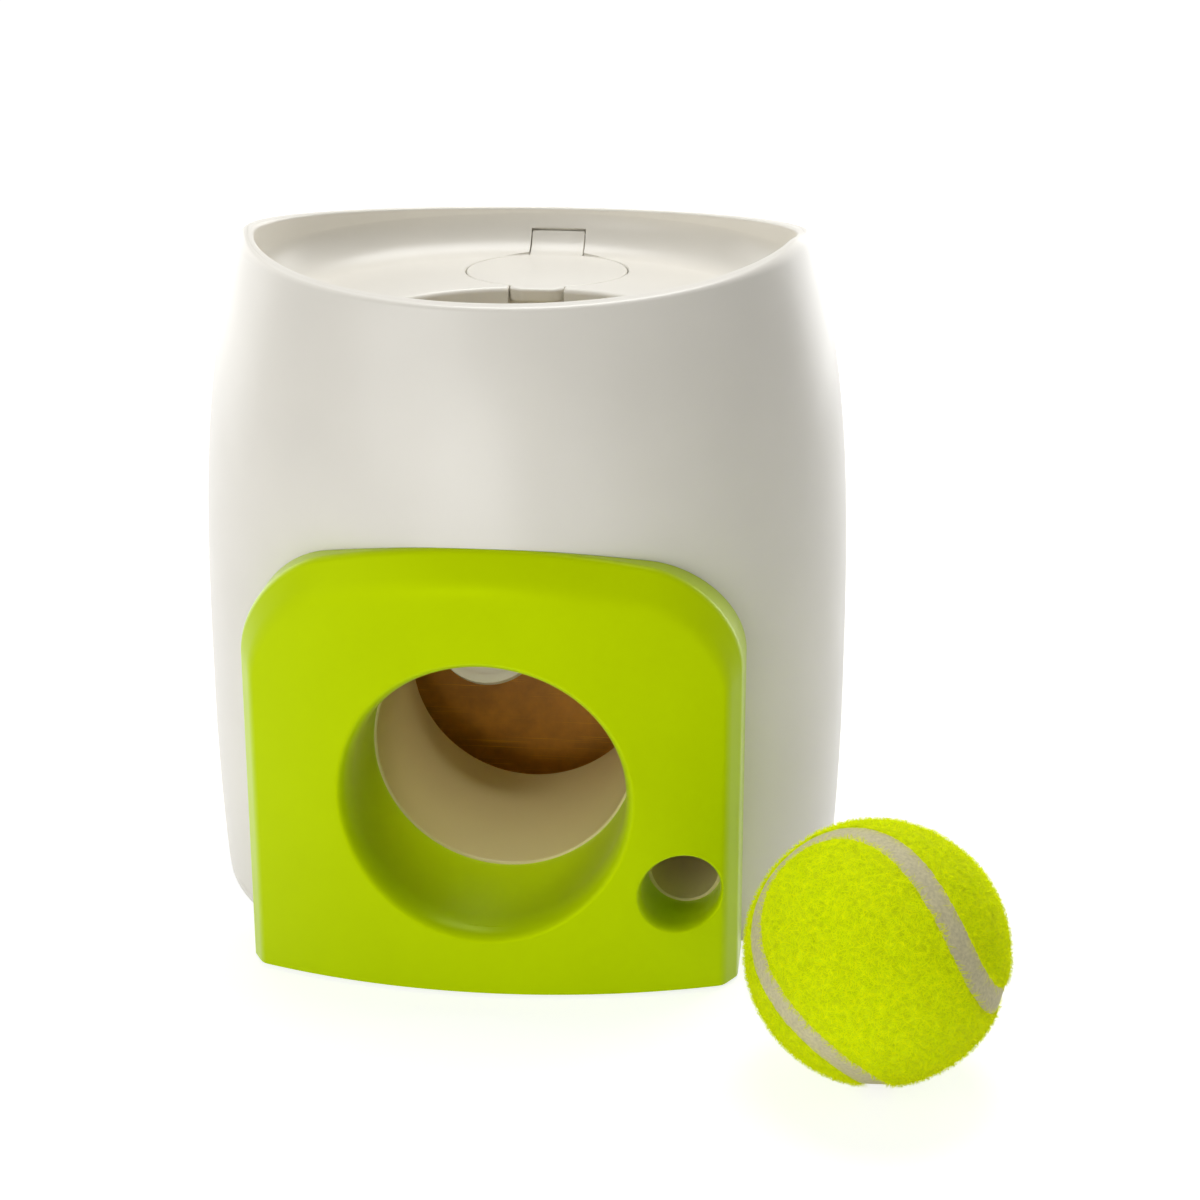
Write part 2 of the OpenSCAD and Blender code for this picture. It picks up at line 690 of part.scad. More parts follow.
// Treat bin under the hatch, with an outlet that sits over the drum
module hopper() color(white) difference() {
    union() {
        hopper_block(0, hopper_top);
        for (p = hopper_screws_at) translate([p[0], p[1], hopper_top - lug_drop]) {
            cylinder(r = lug_r, h = lug_t);
            translate([p[0] < 0 ? 0 : -lug_l, -lug_r, 0]) cube([lug_l, 2 * lug_r, lug_t]);
        }
    }
    hopper_block(hopper_wall, far);
    rod_x(axle_y, axle_z, drum_x - 10, drum_x + drum_l + 10, drum_r + drum_gap);
    for (p = hopper_screws_at) translate([p[0], p[1], 0]) cylinder(r = screw_r + loose_gap, h = far);
}

module hopper_screws() color(steel) for (p = hopper_screws_at)
    translate([p[0], p[1], hopper_top - lug_drop]) screw(lug_drop + 1);

// Frame that carries the paddle's shaft in two front ears and the drum's axle in two rear arms
module mechanism_frame() color(brown) difference() {
    union() {
        translate([-frame_w / 2, plate_y, plate_top]) cube([frame_w, frame_t, plate_h - plate_top]);
        translate([-frame_w / 2, plate_y, plate_top]) cube([frame_w, flange_l, frame_t]);
        for (x = [-ear_x - ear_t, ear_x]) along_x(x, x + ear_t) frame_ear();
        for (x = [-ear_x - ear_t, arm_x]) along_x(x, x + ear_t) frame_arm();
    }
    rod_x(pivot_y, pivot_z, -far, far, bush_r + fix_gap);
    rod_x(axle_y, axle_z, -far, far, bush_r + fix_gap);
    chute_rod(chute_out + chute_gap);
    for (sx = [-1, 1]) translate([sx * frame_screw_x, frame_screw_y, 0])
        cylinder(r = screw_r + loose_gap, h = far / 4);
}
module frame_ear() {
    translate([pivot_y, pivot_z]) circle(r = ear_r);
    translate([pivot_y - ear_r, plate_h - ear_foot])
        square([plate_y + frame_t - pivot_y + ear_r, pivot_z - plate_h + ear_foot]);
}
module frame_arm() {
    translate([axle_y, axle_z]) circle(r = ear_r);
    translate([plate_y + 1, axle_z - ear_r]) square([axle_y - plate_y - 1, 2 * ear_r]);
}

module frame_screws() color(steel) for (sx = [-1, 1])
    translate([sx * frame_screw_x, frame_screw_y, plate_top + frame_t]) rotate([180, 0, 0])
        screw(frame_t + base_t - screw_short);

// Flanged bushes, with their lips on the outer faces of the frame
module bush(x, y, z, out) {
    difference() {
        union() {
            rod_x(y, z, x, x + ear_t, bush_r);
            lip_x = out > 0 ? x + ear_t : x - bush_lip;
            rod_x(y, z, lip_x, lip_x + bush_lip, bush_lip_r);
        }
        rod_x(y, z, x - 5, x + ear_t + 5, shaft_d / 2 + run_gap);
    }
}
module pivot_bushes() color(acetal) {
    bush(-ear_x - ear_t, pivot_y, pivot_z, -1);
    bush(ear_x, pivot_y, pivot_z, 1);
    bush(-ear_x - ear_t, axle_y, axle_z, -1);
    bush(arm_x, axle_y, axle_z, 1);
}

// Paddle that hangs into the tunnel, with two rear arms for the return weight
module trigger_paddle() color(white) difference() {
    union() {
        translate([paddle_x, pivot_y, pivot_z]) rotate([-paddle_lean, 0, 0]) paddle_blade();
        rod_x(pivot_y, pivot_z, paddle_x - hub_w / 2, paddle_x + hub_w / 2, hub_r);
        for (x = [paddle_x - hub_w / 2, paddle_x + hub_w / 2 - rib_t]) along_x(x, x + rib_t)
            translate([pivot_y, pivot_z]) weight_lever();
    }
    rod_x(pivot_y, pivot_z, -far, far, shaft_d / 2 + fix_gap);
    rod_x(pivot_y + weight_arm, pivot_z, -far, far, weight_r + fix_gap);
}
// Arm with a round end, which has a raised lip on the side that the ball meets
module paddle_blade() {
    end_r = paddle_w / 2;
    rotate([90, 0, 0]) translate([0, 0, -paddle_t / 2]) {
        linear_extrude(paddle_t) {
            translate([-hub_w / 2, end_r - paddle_l]) square([hub_w, paddle_l - end_r]);
            translate([0, end_r - paddle_l]) circle(r = end_r);
        }
        linear_extrude(paddle_t + lip_h) translate([0, end_r - paddle_l]) difference() {
            circle(r = end_r);
            circle(r = end_r - lip_w);
        }
    }
}
module weight_lever() {
    circle(r = hub_r);
    translate([0, -lever_h / 2]) square([weight_arm, lever_h]);
    translate([weight_arm, 0]) circle(r = weight_r + weight_wall);
}

module paddle_shaft() color(steel) rod_x(pivot_y, pivot_z, shaft_left, shaft_right, shaft_d / 2);

// Ring that keeps a shaft in its bushes
module collar(y, z, x) difference() {
    rod_x(y, z, x, x + collar_l, collar_r);
    rod_x(y, z, x - 1, x + collar_l + 1, shaft_d / 2 + fix_gap);
}
module shaft_collar() color(steel) collar(pivot_y, pivot_z, ear_x + ear_t + bush_lip + side_play);

// Involute tooth at angle 0 and the angle that half of it takes at a radius
function involute(a) = tan(a) * 180 / PI - a;
function half_tooth(r, teeth) = let (rp = gear_module * teeth / 2, rb = rp * cos(pressure))
    90 / teeth - backlash / 4 / rp * 180 / PI + involute(pressure) - involute(acos(min(1, rb / r)));
module tooth(teeth) {
    rp = gear_module * teeth / 2;
    root = rp - dedendum * gear_module;
    low = max(root, rp * cos(pressure));
    tip = rp + addendum * gear_module;
    radii = levels(low, tip, 5);
    flank = concat([(root - tooth_bite) * [1, tan(half_tooth(low, teeth))]],
        [for (r = radii) r * [cos(half_tooth(r, teeth)), sin(half_tooth(r, teeth))]]);
    polygon(concat([for (p = flank) [p[0], -p[1]]],
        [for (i = [len(flank) - 1 : -1 : 0]) flank[i]]));
}

module sector_gear() color(acetal) difference() {
    along_x(gear_x, gear_x + gear_t) translate([pivot_y, pivot_z]) rotate(gear_line) {
        root = gear_module * (sector_teeth / 2 - dedendum);
        count = floor(sector_span * sector_teeth / 720);
        circle(r = hub_r + 1);
        polygon(concat([[0, 0]], arc([0, 0], root, -sector_span / 2, sector_span / 2, 16)));
        for (i = [-count : count]) rotate(i * 360 / sector_teeth) tooth(sector_teeth);
    }
    rod_x(pivot_y, pivot_z, -far, 0, shaft_d / 2 + fix_gap);
}

module return_weight() color(steel) rod_x(pivot_y + weight_arm, pivot_z,
    paddle_x - hub_w / 2 - weight_out, paddle_x + hub_w / 2 + weight_out, weight_r);

// Drum with one pocket, which faces the hopper at rest and turns to the rear to empty
module dose_drum() color(lime) difference() {
    rod_x(axle_y, axle_z, drum_x, drum_x + drum_l, drum_r);
    pocket_r = (drum_r - shaft_d / 2 - pocket_wall) * pocket_share;
    pocket_z = axle_z + shaft_d / 2 + pocket_wall + pocket_r;
    rod_x(axle_y, pocket_z, drum_x + pocket_wall, drum_x + drum_l - pocket_wall, pocket_r);
    rod_x(axle_y, axle_z, -far, far, shaft_d / 2 + fix_gap);
}

module drum_axle() color(steel) rod_x(axle_y, axle_z, shaft_left, axle_right, shaft_d / 2);

module drum_pinion() color(acetal) difference() {
    along_x(gear_x, gear_x + gear_t) translate([axle_y, axle_z])
        rotate(gear_line + 180 + 180 / pinion_teeth) {
        circle(r = gear_module * (pinion_teeth / 2 - dedendum));
        for (i = [1 : pinion_teeth]) rotate(i * 360 / pinion_teeth) tooth(pinion_teeth);
    }
    rod_x(axle_y, axle_z, -far, 0, shaft_d / 2 + fix_gap);
}

module axle_collar() color(steel) collar(axle_y, axle_z, drum_x + drum_l + side_play - 0.1);

// The ball: its seam is the closed curve of a tennis ball, turned as the ball lies
ball_turn = [57.2, 1.4, -142.7];
core_r = ball_d / 2 - felt_t;
cup_gap = 0.1;
seam_lift = 0.3;
seam_low = 0.7;
felt_gap = 0.4;
end_share = 0.99;
end_half = 1.2;
seam_a = 0.78;
seam_b = 1 - seam_a;
seam_c = 2 * sqrt(seam_a * seam_b);
function seam_at(t) = [seam_a * cos(t) + seam_b * cos(3 * t), seam_a * sin(t) - seam_b * sin(3 * t),
    seam_c * sin(2 * t)];
function unit(v) = v / norm(v);
module at_ball() translate([ball_x, -ball_front, ball_d / 2]) rotate(ball_turn) children();

// Two rubber cups with a glue line between them
module ball_core() color(rubber) at_ball() for (s = [0, 180]) rotate([s, 0, 0])
    rotate_extrude() intersection() {
        difference() {
            circle(r = core_r);
            circle(r = core_r - core_wall);
        }
        translate([0, cup_gap / 2]) square(core_r + 1);
    }

// Triangles of a closed skin over a grid of points: rows around, columns across
function quad(a, b, c, d) = [[a, b, c], [a, c, d]];
function flat_list(l) = [for (a = l) for (b = a) b];

module ball_seam() color("#b9b3a4") at_ball() {
    steps = 72;
    half = seam_w / ball_d * 180 / PI;
    low = core_r + seam_lift;
    top = core_r + felt_t - seam_low;
    rings = [for (i = [0 : steps - 1]) let (t = i * 360 / steps, v = seam_at(t),
        side = unit(cross(seam_at(t + 1) - seam_at(t - 1), v)), out = cos(half) * v, d = sin(half) * side)
        [low * (out - d), low * (out + d), top * (out + d), top * (out - d)]];
    polyhedron(flat_list(rings), flat_list([for (i = [0 : steps - 1], k = [0 : 3])
        let (j = (i + 1) % steps, m = (k + 1) % 4) quad(4 * i + k, 4 * j + k, 4 * j + m, 4 * i + m)]));
}

// One felt panel: a dog-bone grid between the seam's two flanks, mirrored about its middle
module felt_panel() {
    gap = (seam_w / 2 + felt_gap) / (ball_d / 2) * 180 / PI;
    rows = 16;
    cols = 12;
    d = [-1, 1, 0] / sqrt(2);
    n = [1, 1, 0] / sqrt(2);
    end = seam_at(135);
    end_psi = atan2(end * d, end[2]);
    spine = [for (i = [-rows : rows]) let (t = 45 + end_share * 90 * abs(i) / rows, v = seam_at(t),
        psi = atan2(v * d, v[2]) * (end_psi - gap) / end_psi, w = max(asin(v * n) - gap, end_half))
        [i < 0 ? -psi : psi, w]];
    function grid(r) = [for (p = spine, k = [-cols / 2 : cols / 2]) let (s = p[1] * 2 * k / cols)
        r * (cos(s) * (cos(p[0]) * [0, 0, 1] + sin(p[0]) * d) + sin(s) * n)];
    nr = 2 * rows + 1;
    nc = cols + 1;
    base = nr * nc;
    skin = flat_list([for (i = [0 : nr - 2], k = [0 : nc - 2]) let (a = i * nc + k)
        concat(quad(a, a + 1, a + nc + 1, a + nc),
            quad(base + a, base + a + nc, base + a + nc + 1, base + a + 1))]);
    sides = flat_list([for (i = [0 : nr - 2]) let (a = i * nc, b = a + nc - 1)
        concat(quad(a, a + nc, base + a + nc, base + a), quad(b, base + b, base + b + nc, b + nc))]);
    ends = flat_list([for (k = [0 : nc - 2]) let (b = (nr - 1) * nc + k)
        concat(quad(k, base + k, base + k + 1, k + 1), quad(b, b + 1, base + b + 1, base + b))]);
    polyhedron(concat(grid(ball_d / 2), grid(core_r + felt_gap)), concat(skin, sides, ends));
}

module ball_felt() color("#d6ee1c") at_ball() for (a = [0, 180]) rotate([a, 0, 0]) felt_panel();

body_shell();
top_tray();
hatch_lid();
hatch_pin();
front_panel();
base_plate();
foot_ring();
base_screws();
drop_tube();
ball_tunnel();
treat_chute();
hopper();
hopper_screws();
mechanism_frame();
frame_screws();
pivot_bushes();
trigger_paddle();
paddle_shaft();
shaft_collar();
sector_gear();
return_weight();
dose_drum();
drum_axle();
drum_pinion();
axle_collar();
ball_core();
ball_felt();
ball_seam();
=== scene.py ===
"""Dog treat dispenser: the visible pieces, materials, light and camera of the part.

Lengths inside the builders are in millimetres, in the frame of the CAD pieces:
+Z up, the front towards -Y, the floor at z = 0.
"""

import math
from types import SimpleNamespace

import bmesh
import bpy
import numpy as np
from mathutils import Matrix, Vector, kdtree, noise


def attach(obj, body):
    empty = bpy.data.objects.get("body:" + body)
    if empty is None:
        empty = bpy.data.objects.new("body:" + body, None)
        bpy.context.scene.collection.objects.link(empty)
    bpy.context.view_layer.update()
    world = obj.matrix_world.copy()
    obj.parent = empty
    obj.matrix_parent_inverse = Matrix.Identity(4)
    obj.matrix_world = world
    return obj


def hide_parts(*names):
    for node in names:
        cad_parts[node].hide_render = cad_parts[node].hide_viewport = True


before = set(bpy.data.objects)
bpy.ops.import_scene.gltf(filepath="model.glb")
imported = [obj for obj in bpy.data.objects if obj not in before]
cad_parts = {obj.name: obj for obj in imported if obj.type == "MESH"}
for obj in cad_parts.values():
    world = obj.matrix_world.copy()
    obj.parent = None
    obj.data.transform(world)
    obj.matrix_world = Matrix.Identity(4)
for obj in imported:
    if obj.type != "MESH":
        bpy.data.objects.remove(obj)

bl_info = {
    "name": "Dog treat dispenser",
    "version": (1, 0, 0),
    "blender": (4, 5, 0),
    "location": "3D View > Sidebar > Dispenser",
    "description": "Builds the visible pieces of a treat dispenser worked by a ball",
    "category": "Object",
}

MM = 0.001
SEED = 7
WHITE = (1, 1, 1, 1)
# How deep the blocks under the lid's seat and behind its hinge reach below the bowl's floor
REST_DEEP = 5.5
# Points round the barrel, round a large bore and round a small one
ROUND, BORE, HOLE = 320, 160, 128


def linear(hex_colour):
    """Turn an sRGB hex colour into linear RGB."""
    parts = [int(hex_colour[i:i + 2], 16) / 255 for i in (1, 3, 5)]
    return tuple(c / 12.92 if c <= 0.04045 else ((c + 0.055) / 1.055) ** 2.4 for c in parts)


def size(name, description, mm):
    """A length property, given in millimetres."""
    return bpy.props.FloatProperty(
        name=name, description=description, default=mm * MM, min=0, unit="LENGTH", precision=5)


def tint(name, description, hex_colour):
    """A colour property, given as sRGB hex."""
    return bpy.props.FloatVectorProperty(
        name=name, description=description, default=linear(hex_colour),
        subtype="COLOR", size=3, min=0, max=1)


class BarrelSizes(bpy.types.PropertyGroup):
    """Sizes of the body shell and the bowl set into it."""

    width: size("Width", "Diameter of the barrel at its widest", 180)
    belly_z: size("Belly height", "Height of the widest place", 55)
    top_in: size("Top draw-in", "How much narrower the radius is at the horns", 13)
    foot_in: size("Foot draw-in", "How much narrower the radius is at the floor", 2)
    horn_z: size("Tip height", "Height of the rim at its two tips, left and right", 186)
    tip_front: size("Tip forward", "How far the rim's tips sit in front of the axis", 15)
    tip_soft: size("Tip rounding", "How far the tips are rounded off along the rim", 5)
    rim_fall: size("Rim fall", "How far the rim falls over 100 mm from its tips", 10.6)
    wall: size("Wall", "Thickness of the shell", 2.2)
    gap: size("Bowl gap", "Gap between shell and bowl", 0.15)
    edge: size("Rim rounding", "Radius on the outer and inner edge of the rim", 1)
    tip_edge: size("Tip edge", "Height of the rounding at the two tips of the rim", 3.2)
    seam: size("Rim seam", "Gap that shows between shell and bowl at the rim", 0.04)
    foot_z: size("Shell foot", "Height of the shell's lower edge", 5)
    skirt_z: size("Skirt foot", "Height of the lower edge of the bowl's skirt", 150)
    floor_z: size("Bowl floor", "Height of the bowl's floor", 163.5)
    fillet: size("Bowl fillet", "Radius from the bowl's floor into its wall", 11)


class MouthSizes(bpy.types.PropertyGroup):
    """Sizes of the mouth the ball drops into."""

    r: size("Mouth radius", "Radius of the mouth in the bowl's floor", 42.5)
    forward: size("Mouth forward", "How far the mouth sits in front of the axis", 22)
    throat_r: size("Throat radius", "Radius where the funnel meets the drop tube", 34.5)
    throat_forward: size("Throat forward", "How far the throat sits in front of the axis", 15.5)
    throat_z: size("Throat height", "Height where the funnel ends", 149.8)
    lip: size("Lip rounding", "Radius of the mouth's edge", 1.6)
    sleeve_r: size("Sleeve radius", "Outer radius of the sleeve over the drop tube", 38.65)
    sleeve_z: size("Sleeve foot", "Height of the sleeve's lower edge", 142.8)


class HatchSizes(bpy.types.PropertyGroup):
    """Sizes of the filler hatch in the bowl's floor."""

    r: size("Lid radius", "Radius of the round lid", 23.5)
    back: size("Lid back", "How far the lid's middle sits behind the axis", 45.4)
    thick: size("Lid thickness", "Thickness of lid and arm", 2.4)
    clearance: size("Lid gap", "Gap round the lid", 0.25)
    opening_r: size("Opening radius", "Radius of the opening under the lid", 19.5)
    arm: size("Arm width", "Width of the arm that runs up the bowl's wall", 16)
    pin_y: size("Pin back", "How far the hinge pin sits behind the axis", 75.1391)
    pin_z: size("Pin height", "Height of the hinge pin", 168)
    knuckle: size("Knuckle radius", "Radius of the arm's rolled end", 1.5)
    relief: size("Relief radius", "Radius of the room in front of the pin", 2.4)
    grip: size("Pin grip", "How deep the pin sits in the bowl on each side", 3)
    tab: size("Tab width", "Width of the finger tab", 15.4)
    tab_corner: size("Tab corner", "Radius of the tab's front corners, in plan", 4.5)
    tab_edge: size("Tab edge", "Rounding of the tab's edges", 0.9)
    tab_front: size("Tab front", "How far the tab's front end sits behind the axis", 18.5)
    tab_thick: size("Tab thickness", "Thickness of the finger tab", 4)
    notch_z: size("Notch foot", "Height of the finger notch's bottom", 153.5)
    notch_edge: size("Notch edge", "Rounding of the finger notch's upper edges", 0.7)


class PanelSizes(bpy.types.PropertyGroup):
    """Sizes of the coloured front panel and the holes in it."""

    width: size("Panel width", "Width of the panel at its foot", 130)
    height: size("Panel height", "Height of the panel in the middle", 121)
    corner: size("Corner radius", "Radius of the two upper corners", 24)
    foot: size("Panel foot", "Height of the panel's lower edge", 1)
    arch: size("Arch radius", "Radius the upper edge is bowed to", 170)
    front: size("Panel front", "How far the face stands in front of the axis", 94)
    face_r: size("Face radius", "Radius the face is curved to", 180)
    bevel: size("Top bevel", "Width of the sloping border along the upper edge", 9)
    bevel_side: size("Side bevel", "Width of the sloping border along the two sides", 3.5)
    bevel_depth: size("Bevel depth", "Depth of the sloping border", 4.6)
    soft: size("Bevel softness", "How far the border's edges are blended", 3)
    back: size("Panel back", "How far the panel's back stands in front of the axis", 36)
    exit_r: size("Exit radius", "Radius of the hole the ball leaves by", 35.7)
    exit_z: size("Exit height", "Height of the exit's middle", 54)
    exit_flare: size("Exit flare", "How much the exit widens at the face", 3)
    exit_soft: size("Exit rounding", "Depth of the exit's rounded edge", 10)
    treat_r: size("Treat hole radius", "Radius of the hole the treats leave by", 10)
    treat_x: size("Treat hole side", "How far the treat hole sits to the right", 50.2)
    treat_z: size("Treat hole height", "Height of the treat hole's middle", 28.5)
    treat_flare: size("Treat flare", "How much the treat hole widens at the face", 1.2)
    treat_soft: size("Treat rounding", "Depth of the treat hole's rounded edge", 4)
    collar: size("Collar wall", "Thickness of the collars behind the holes", 2)
    exit_deep: size("Exit collar end", "How far in front of the axis the exit collar ends", 52)
    treat_deep: size("Treat collar end", "How far in front of the axis the treat collar ends", 70)


class PassageSizes(bpy.types.PropertyGroup):
    """Sizes of the tunnel behind the exit."""

    tunnel_r: size("Tunnel radius", "Inner radius of the ball tunnel", 35)
    tunnel_wall: size("Tunnel wall", "Thickness of the tunnel", 1.8)
    tunnel_front: size("Tunnel front", "How far in front of the axis the tunnel starts", 52)
    tunnel_back: size("Tunnel back", "How far behind the axis the tunnel ends", 4)
    fall: size("Tunnel fall", "Drop of the tunnel over its length", 2.445)
    drop_r: size("Drop radius", "Inner radius of the drop tube", 34.5)
    slot_left: size("Slot left", "How far left the paddle slot reaches", 30)
    slot_right: size("Slot right", "How far right the paddle slot reaches", 6)
    slot_front: size("Slot front", "How far in front of the axis the slot starts", 7.5)


class BallSizes(bpy.types.PropertyGroup):
    """Sizes of the felt ball."""

    r: size("Ball radius", "Radius of the ball over its nap", 32.5)
    x: size("Ball side", "How far to the right the ball lies", 100.5)
    forward: size("Ball forward", "How far in front of the axis the ball lies", 122)
    seam: size("Seam width", "Width of the seam between the felt panels", 6.4)
    seam_deep: size("Seam depth", "Depth of the seam under the nap", 0.7)
    nap: size("Nap height", "How far the longest fibres stand up", 1.3)
    fibre: size("Fibre length", "Length of a felt fibre", 3.2)
    fibre_w: size("Fibre width", "Width of a tuft of fibres at its root", 0.17)


class Colours(bpy.types.PropertyGroup):
    """Colours of the materials."""

    white: tint("White plastic", "Warm white of the moulded body", "#EEEAE0")
    # The passages inside are the same white plastic as the body, darkened to a beige here as
    # painted shade.
    ivory: tint("Ivory plastic", "Warm ivory of the passages inside", "#D8C692")
    lime: tint("Lime plastic", "Yellow-green of the front panel", "#C5DF00")
    brown: tint("Brown plastic", "Amber brown of the mechanism's frame", "#D98F20")
    gear: tint("Gear plastic", "Natural colour of the moving parts", "#E9E5DA")
    steel: tint("Steel", "Bright steel of pins and screws", "#C9C7C3")
    rubber: tint("Rubber", "Grey of the base ring", "#3B3B3B")
    felt: tint("Felt", "Bright yellow-green of the ball", "#E4F505")
    seam: tint("Seam", "Grey-beige of the ball's seam", "#D2CAA4")
    floor: tint("Floor", "White of the floor", "#F7F7F7")


GROUPS = {
    "barrel": BarrelSizes,
    "mouth": MouthSizes,
    "hatch": HatchSizes,
    "panel": PanelSizes,
    "passage": PassageSizes,
    "ball": BallSizes,
    "colours": Colours,
}


def group_of(name, description):
    """A pointer to one group of settings."""
    return bpy.props.PointerProperty(
        type=GROUPS[name], name=name.capitalize(), description=description)


class DispenserSettings(bpy.types.PropertyGroup):
    """All sizes and colours of the dispenser."""

    barrel: group_of("barrel", "Body shell and bowl")
    mouth: group_of("mouth", "Mouth for the ball")
    hatch: group_of("hatch", "Filler hatch")
    panel: group_of("panel", "Front panel")
    passage: group_of("passage", "Ball tunnel")
    ball: group_of("ball", "Felt ball")
    colours: group_of("colours", "Material colours")


def in_mm(context, *names):
    """The sizes of some groups in millimetres, with the frame's signs left to the builders."""
    groups = [getattr(context.scene.dispenser, name) for name in names]
    return [SimpleNamespace(**{key: getattr(group, key) / MM
                               for key in type(group).__annotations__}) for group in groups]


# Mesh helpers

def mesh_object(name, verts, faces):
    """A new object from vertices in millimetres, with its faces turned outward."""
    mesh = bpy.data.meshes.new(name)
    mesh.from_pydata([tuple(v) for v in np.asarray(verts) * MM], [], faces)
    work = bmesh.new()
    work.from_mesh(mesh)
    bmesh.ops.remove_doubles(work, verts=work.verts, dist=1e-7)
    bmesh.ops.recalc_face_normals(work, faces=work.faces)
    work.to_mesh(mesh)
    work.free()
    obj = bpy.data.objects.new(name, mesh)
    bpy.context.scene.collection.objects.link(obj)
    return obj


def quads(rows, cols, wrap_rows=False, wrap_cols=True):
    """Faces of a grid of vertices numbered row by row."""
    faces = []
    for i in range(rows if wrap_rows else rows - 1):
        for j in range(cols if wrap_cols else cols - 1):
            a, b = i, (i + 1) % rows
            c, d = j, (j + 1) % cols
            faces.append((a * cols + c, a * cols + d, b * cols + d, b * cols + c))
    return faces


def skin(name, grid, closed=False):
    """A closed solid from rings of points: a tube of rings, or one capped at both ends."""
    grid = np.asarray(grid, dtype=float)
    rows, cols = grid.shape[:2]
    faces = quads(rows, cols, wrap_rows=closed)
    if not closed:
        faces += [tuple(range(cols)), tuple(range((rows - 1) * cols, rows * cols))]
    return mesh_object(name, grid.reshape(-1, 3), faces)


def mesh_box(name, low, high):
    """A box between two corners, to join on or to cut with."""
    (x0, y0, z0), (x1, y1, z1) = low, high
    return skin(name, [[(x0, y0, z), (x1, y0, z), (x1, y1, z), (x0, y1, z)] for z in (z0, z1)])


def turned(name, profile, centre=(0, 0), segments=HOLE):
    """A solid turned about a vertical line from a profile of (radius, height) points."""
    angle = np.linspace(0, math.tau, segments, endpoint=False)
    grid = [[(centre[0] + r * math.cos(a), centre[1] + r * math.sin(a), z) for a in angle]
            for r, z in profile]
    return skin(name, grid)


def lying(name, r, near, far, x, z, segments=HOLE):
    """A round bar that lies along -Y between two distances from the axis."""
    bar = turned(name, [(r, near), (r, far)], segments=segments)
    bar.matrix_world = (Matrix.Translation((x * MM, 0, z * MM))
                        @ Matrix.Rotation(math.pi / 2, 4, "X"))
    bpy.context.view_layer.update()
    return bar


def unit(vectors):
    """Vectors brought to length one, row by row."""
    return vectors / np.maximum(np.linalg.norm(vectors, axis=1, keepdims=True), 1e-9)


def across(name, profile, half, edge=0.0):
    """A solid drawn along X from a profile of (y, z) points, its two ends rounded by edge."""
    points = np.asarray(profile, dtype=float)
    ahead = np.roll(points, -1, axis=0) - points
    behind = points - np.roll(points, 1, axis=0)
    tangent = unit(unit(ahead) + unit(behind))
    inward = np.stack([-tangent[:, 1], tangent[:, 0]], axis=1)
    y, z = points.T
    area = np.sum(y * np.roll(z, -1) - z * np.roll(y, -1))
    inward *= math.copysign(1, area)
    steps = np.radians((0, 22.5, 45, 67.5, 90) if edge else (90,))
    ends = [(half - edge + edge * math.cos(a), edge * (1 - math.sin(a))) for a in steps]
    rings = [(-x, inset) for x, inset in ends] + [(x, inset) for x, inset in reversed(ends)]
    grid = [[(x, y, z) for y, z in points + inward * inset] for x, inset in rings]
    return skin(name, grid)


def arc(centre, radius, start, end, count):
    """Points of an arc in a plane, with angles in degrees."""
    angles = np.radians(np.linspace(start, end, count))
    return [(centre[0] + radius * math.cos(a), centre[1] + radius * math.sin(a)) for a in angles]


def settle(obj):
    """Take the result of an object's modifiers as its mesh."""
    graph = bpy.context.evaluated_depsgraph_get()
    mesh = bpy.data.meshes.new_from_object(obj.evaluated_get(graph))
    old = obj.data
    obj.modifiers.clear()
    obj.data = mesh
    mesh.name = obj.name
    bpy.data.meshes.remove(old)


def combine(obj, operation, *others):
    """Join other solids to an object, or cut them from it, and remove them."""
    for other in others:
        modifier = obj.modifiers.new(operation, "BOOLEAN")
        modifier.operation = operation
        modifier.solver = "EXACT"
        modifier.object = other
        settle(obj)
        mesh = other.data
        bpy.data.objects.remove(other)
        bpy.data.meshes.remove(mesh)
    return obj


def even_normals(obj):
    """Shade flat places flat, next to roundings that are smooth."""
    obj.modifiers.new("even_normals", "WEIGHTED_NORMAL").keep_sharp = True


def smooth(obj, degrees=32):
    """Shade smooth, with edges sharper than an angle kept."""
    obj.data.shade_smooth()
    obj.data.set_sharp_from_angle(angle=math.radians(degrees))
    even_normals(obj)
    return obj


def coated(obj, material):
    """Give an object one material in place of any it has."""
    obj.data.materials.clear()
    obj.data.materials.append(material)


def piece(obj, body, slot, material, *nodes):
    """Give a finished object its material, its body, and the CAD nodes it stands for."""
    coated(obj, material)
    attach(obj, body)
    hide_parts(*nodes)
    return obj


def finish_cad(name, material, edge=0.25):
    """Keep a CAD node's mesh, and give it a material and edges that catch the light."""
    obj = bpy.data.objects[name]
    coated(obj, material)
    weld = obj.modifiers.new("weld", "WELD")
    weld.merge_threshold = 1e-6
    rounding = obj.modifiers.new("edge", "BEVEL")
    rounding.width = edge * MM
    rounding.segments = 2
    rounding.limit_method = "ANGLE"
    rounding.angle_limit = math.radians(40)
    rounding.use_clamp_overlap = True
    even_normals(obj)


# Materials

def add(tree, kind, inputs=None, links=None, **settings):
    """Add a node with its settings, its constant inputs and the links into it."""
    node = tree.nodes.new(kind)
    for key, value in settings.items():
        setattr(node, key, value)
    for key, value in (inputs or {}).items():
        node.inputs[key].default_value = value
    for key, (source, output) in (links or {}).items():
        tree.links.new(source.outputs[output], node.inputs[key])
    return node


def start(name):
    """A new empty material and its node tree, in place of one of the same name."""
    material = bpy.data.materials.get(name)
    if material:
        bpy.data.materials.remove(material)
    material = bpy.data.materials.new(name)
    material.use_nodes = True
    material.node_tree.nodes.clear()
    return material, material.node_tree


def finished(material, shader):
    """The material with its last shader joined to the output."""
    add(material.node_tree, "ShaderNodeOutputMaterial", links={0: (shader, 0)})
    return material


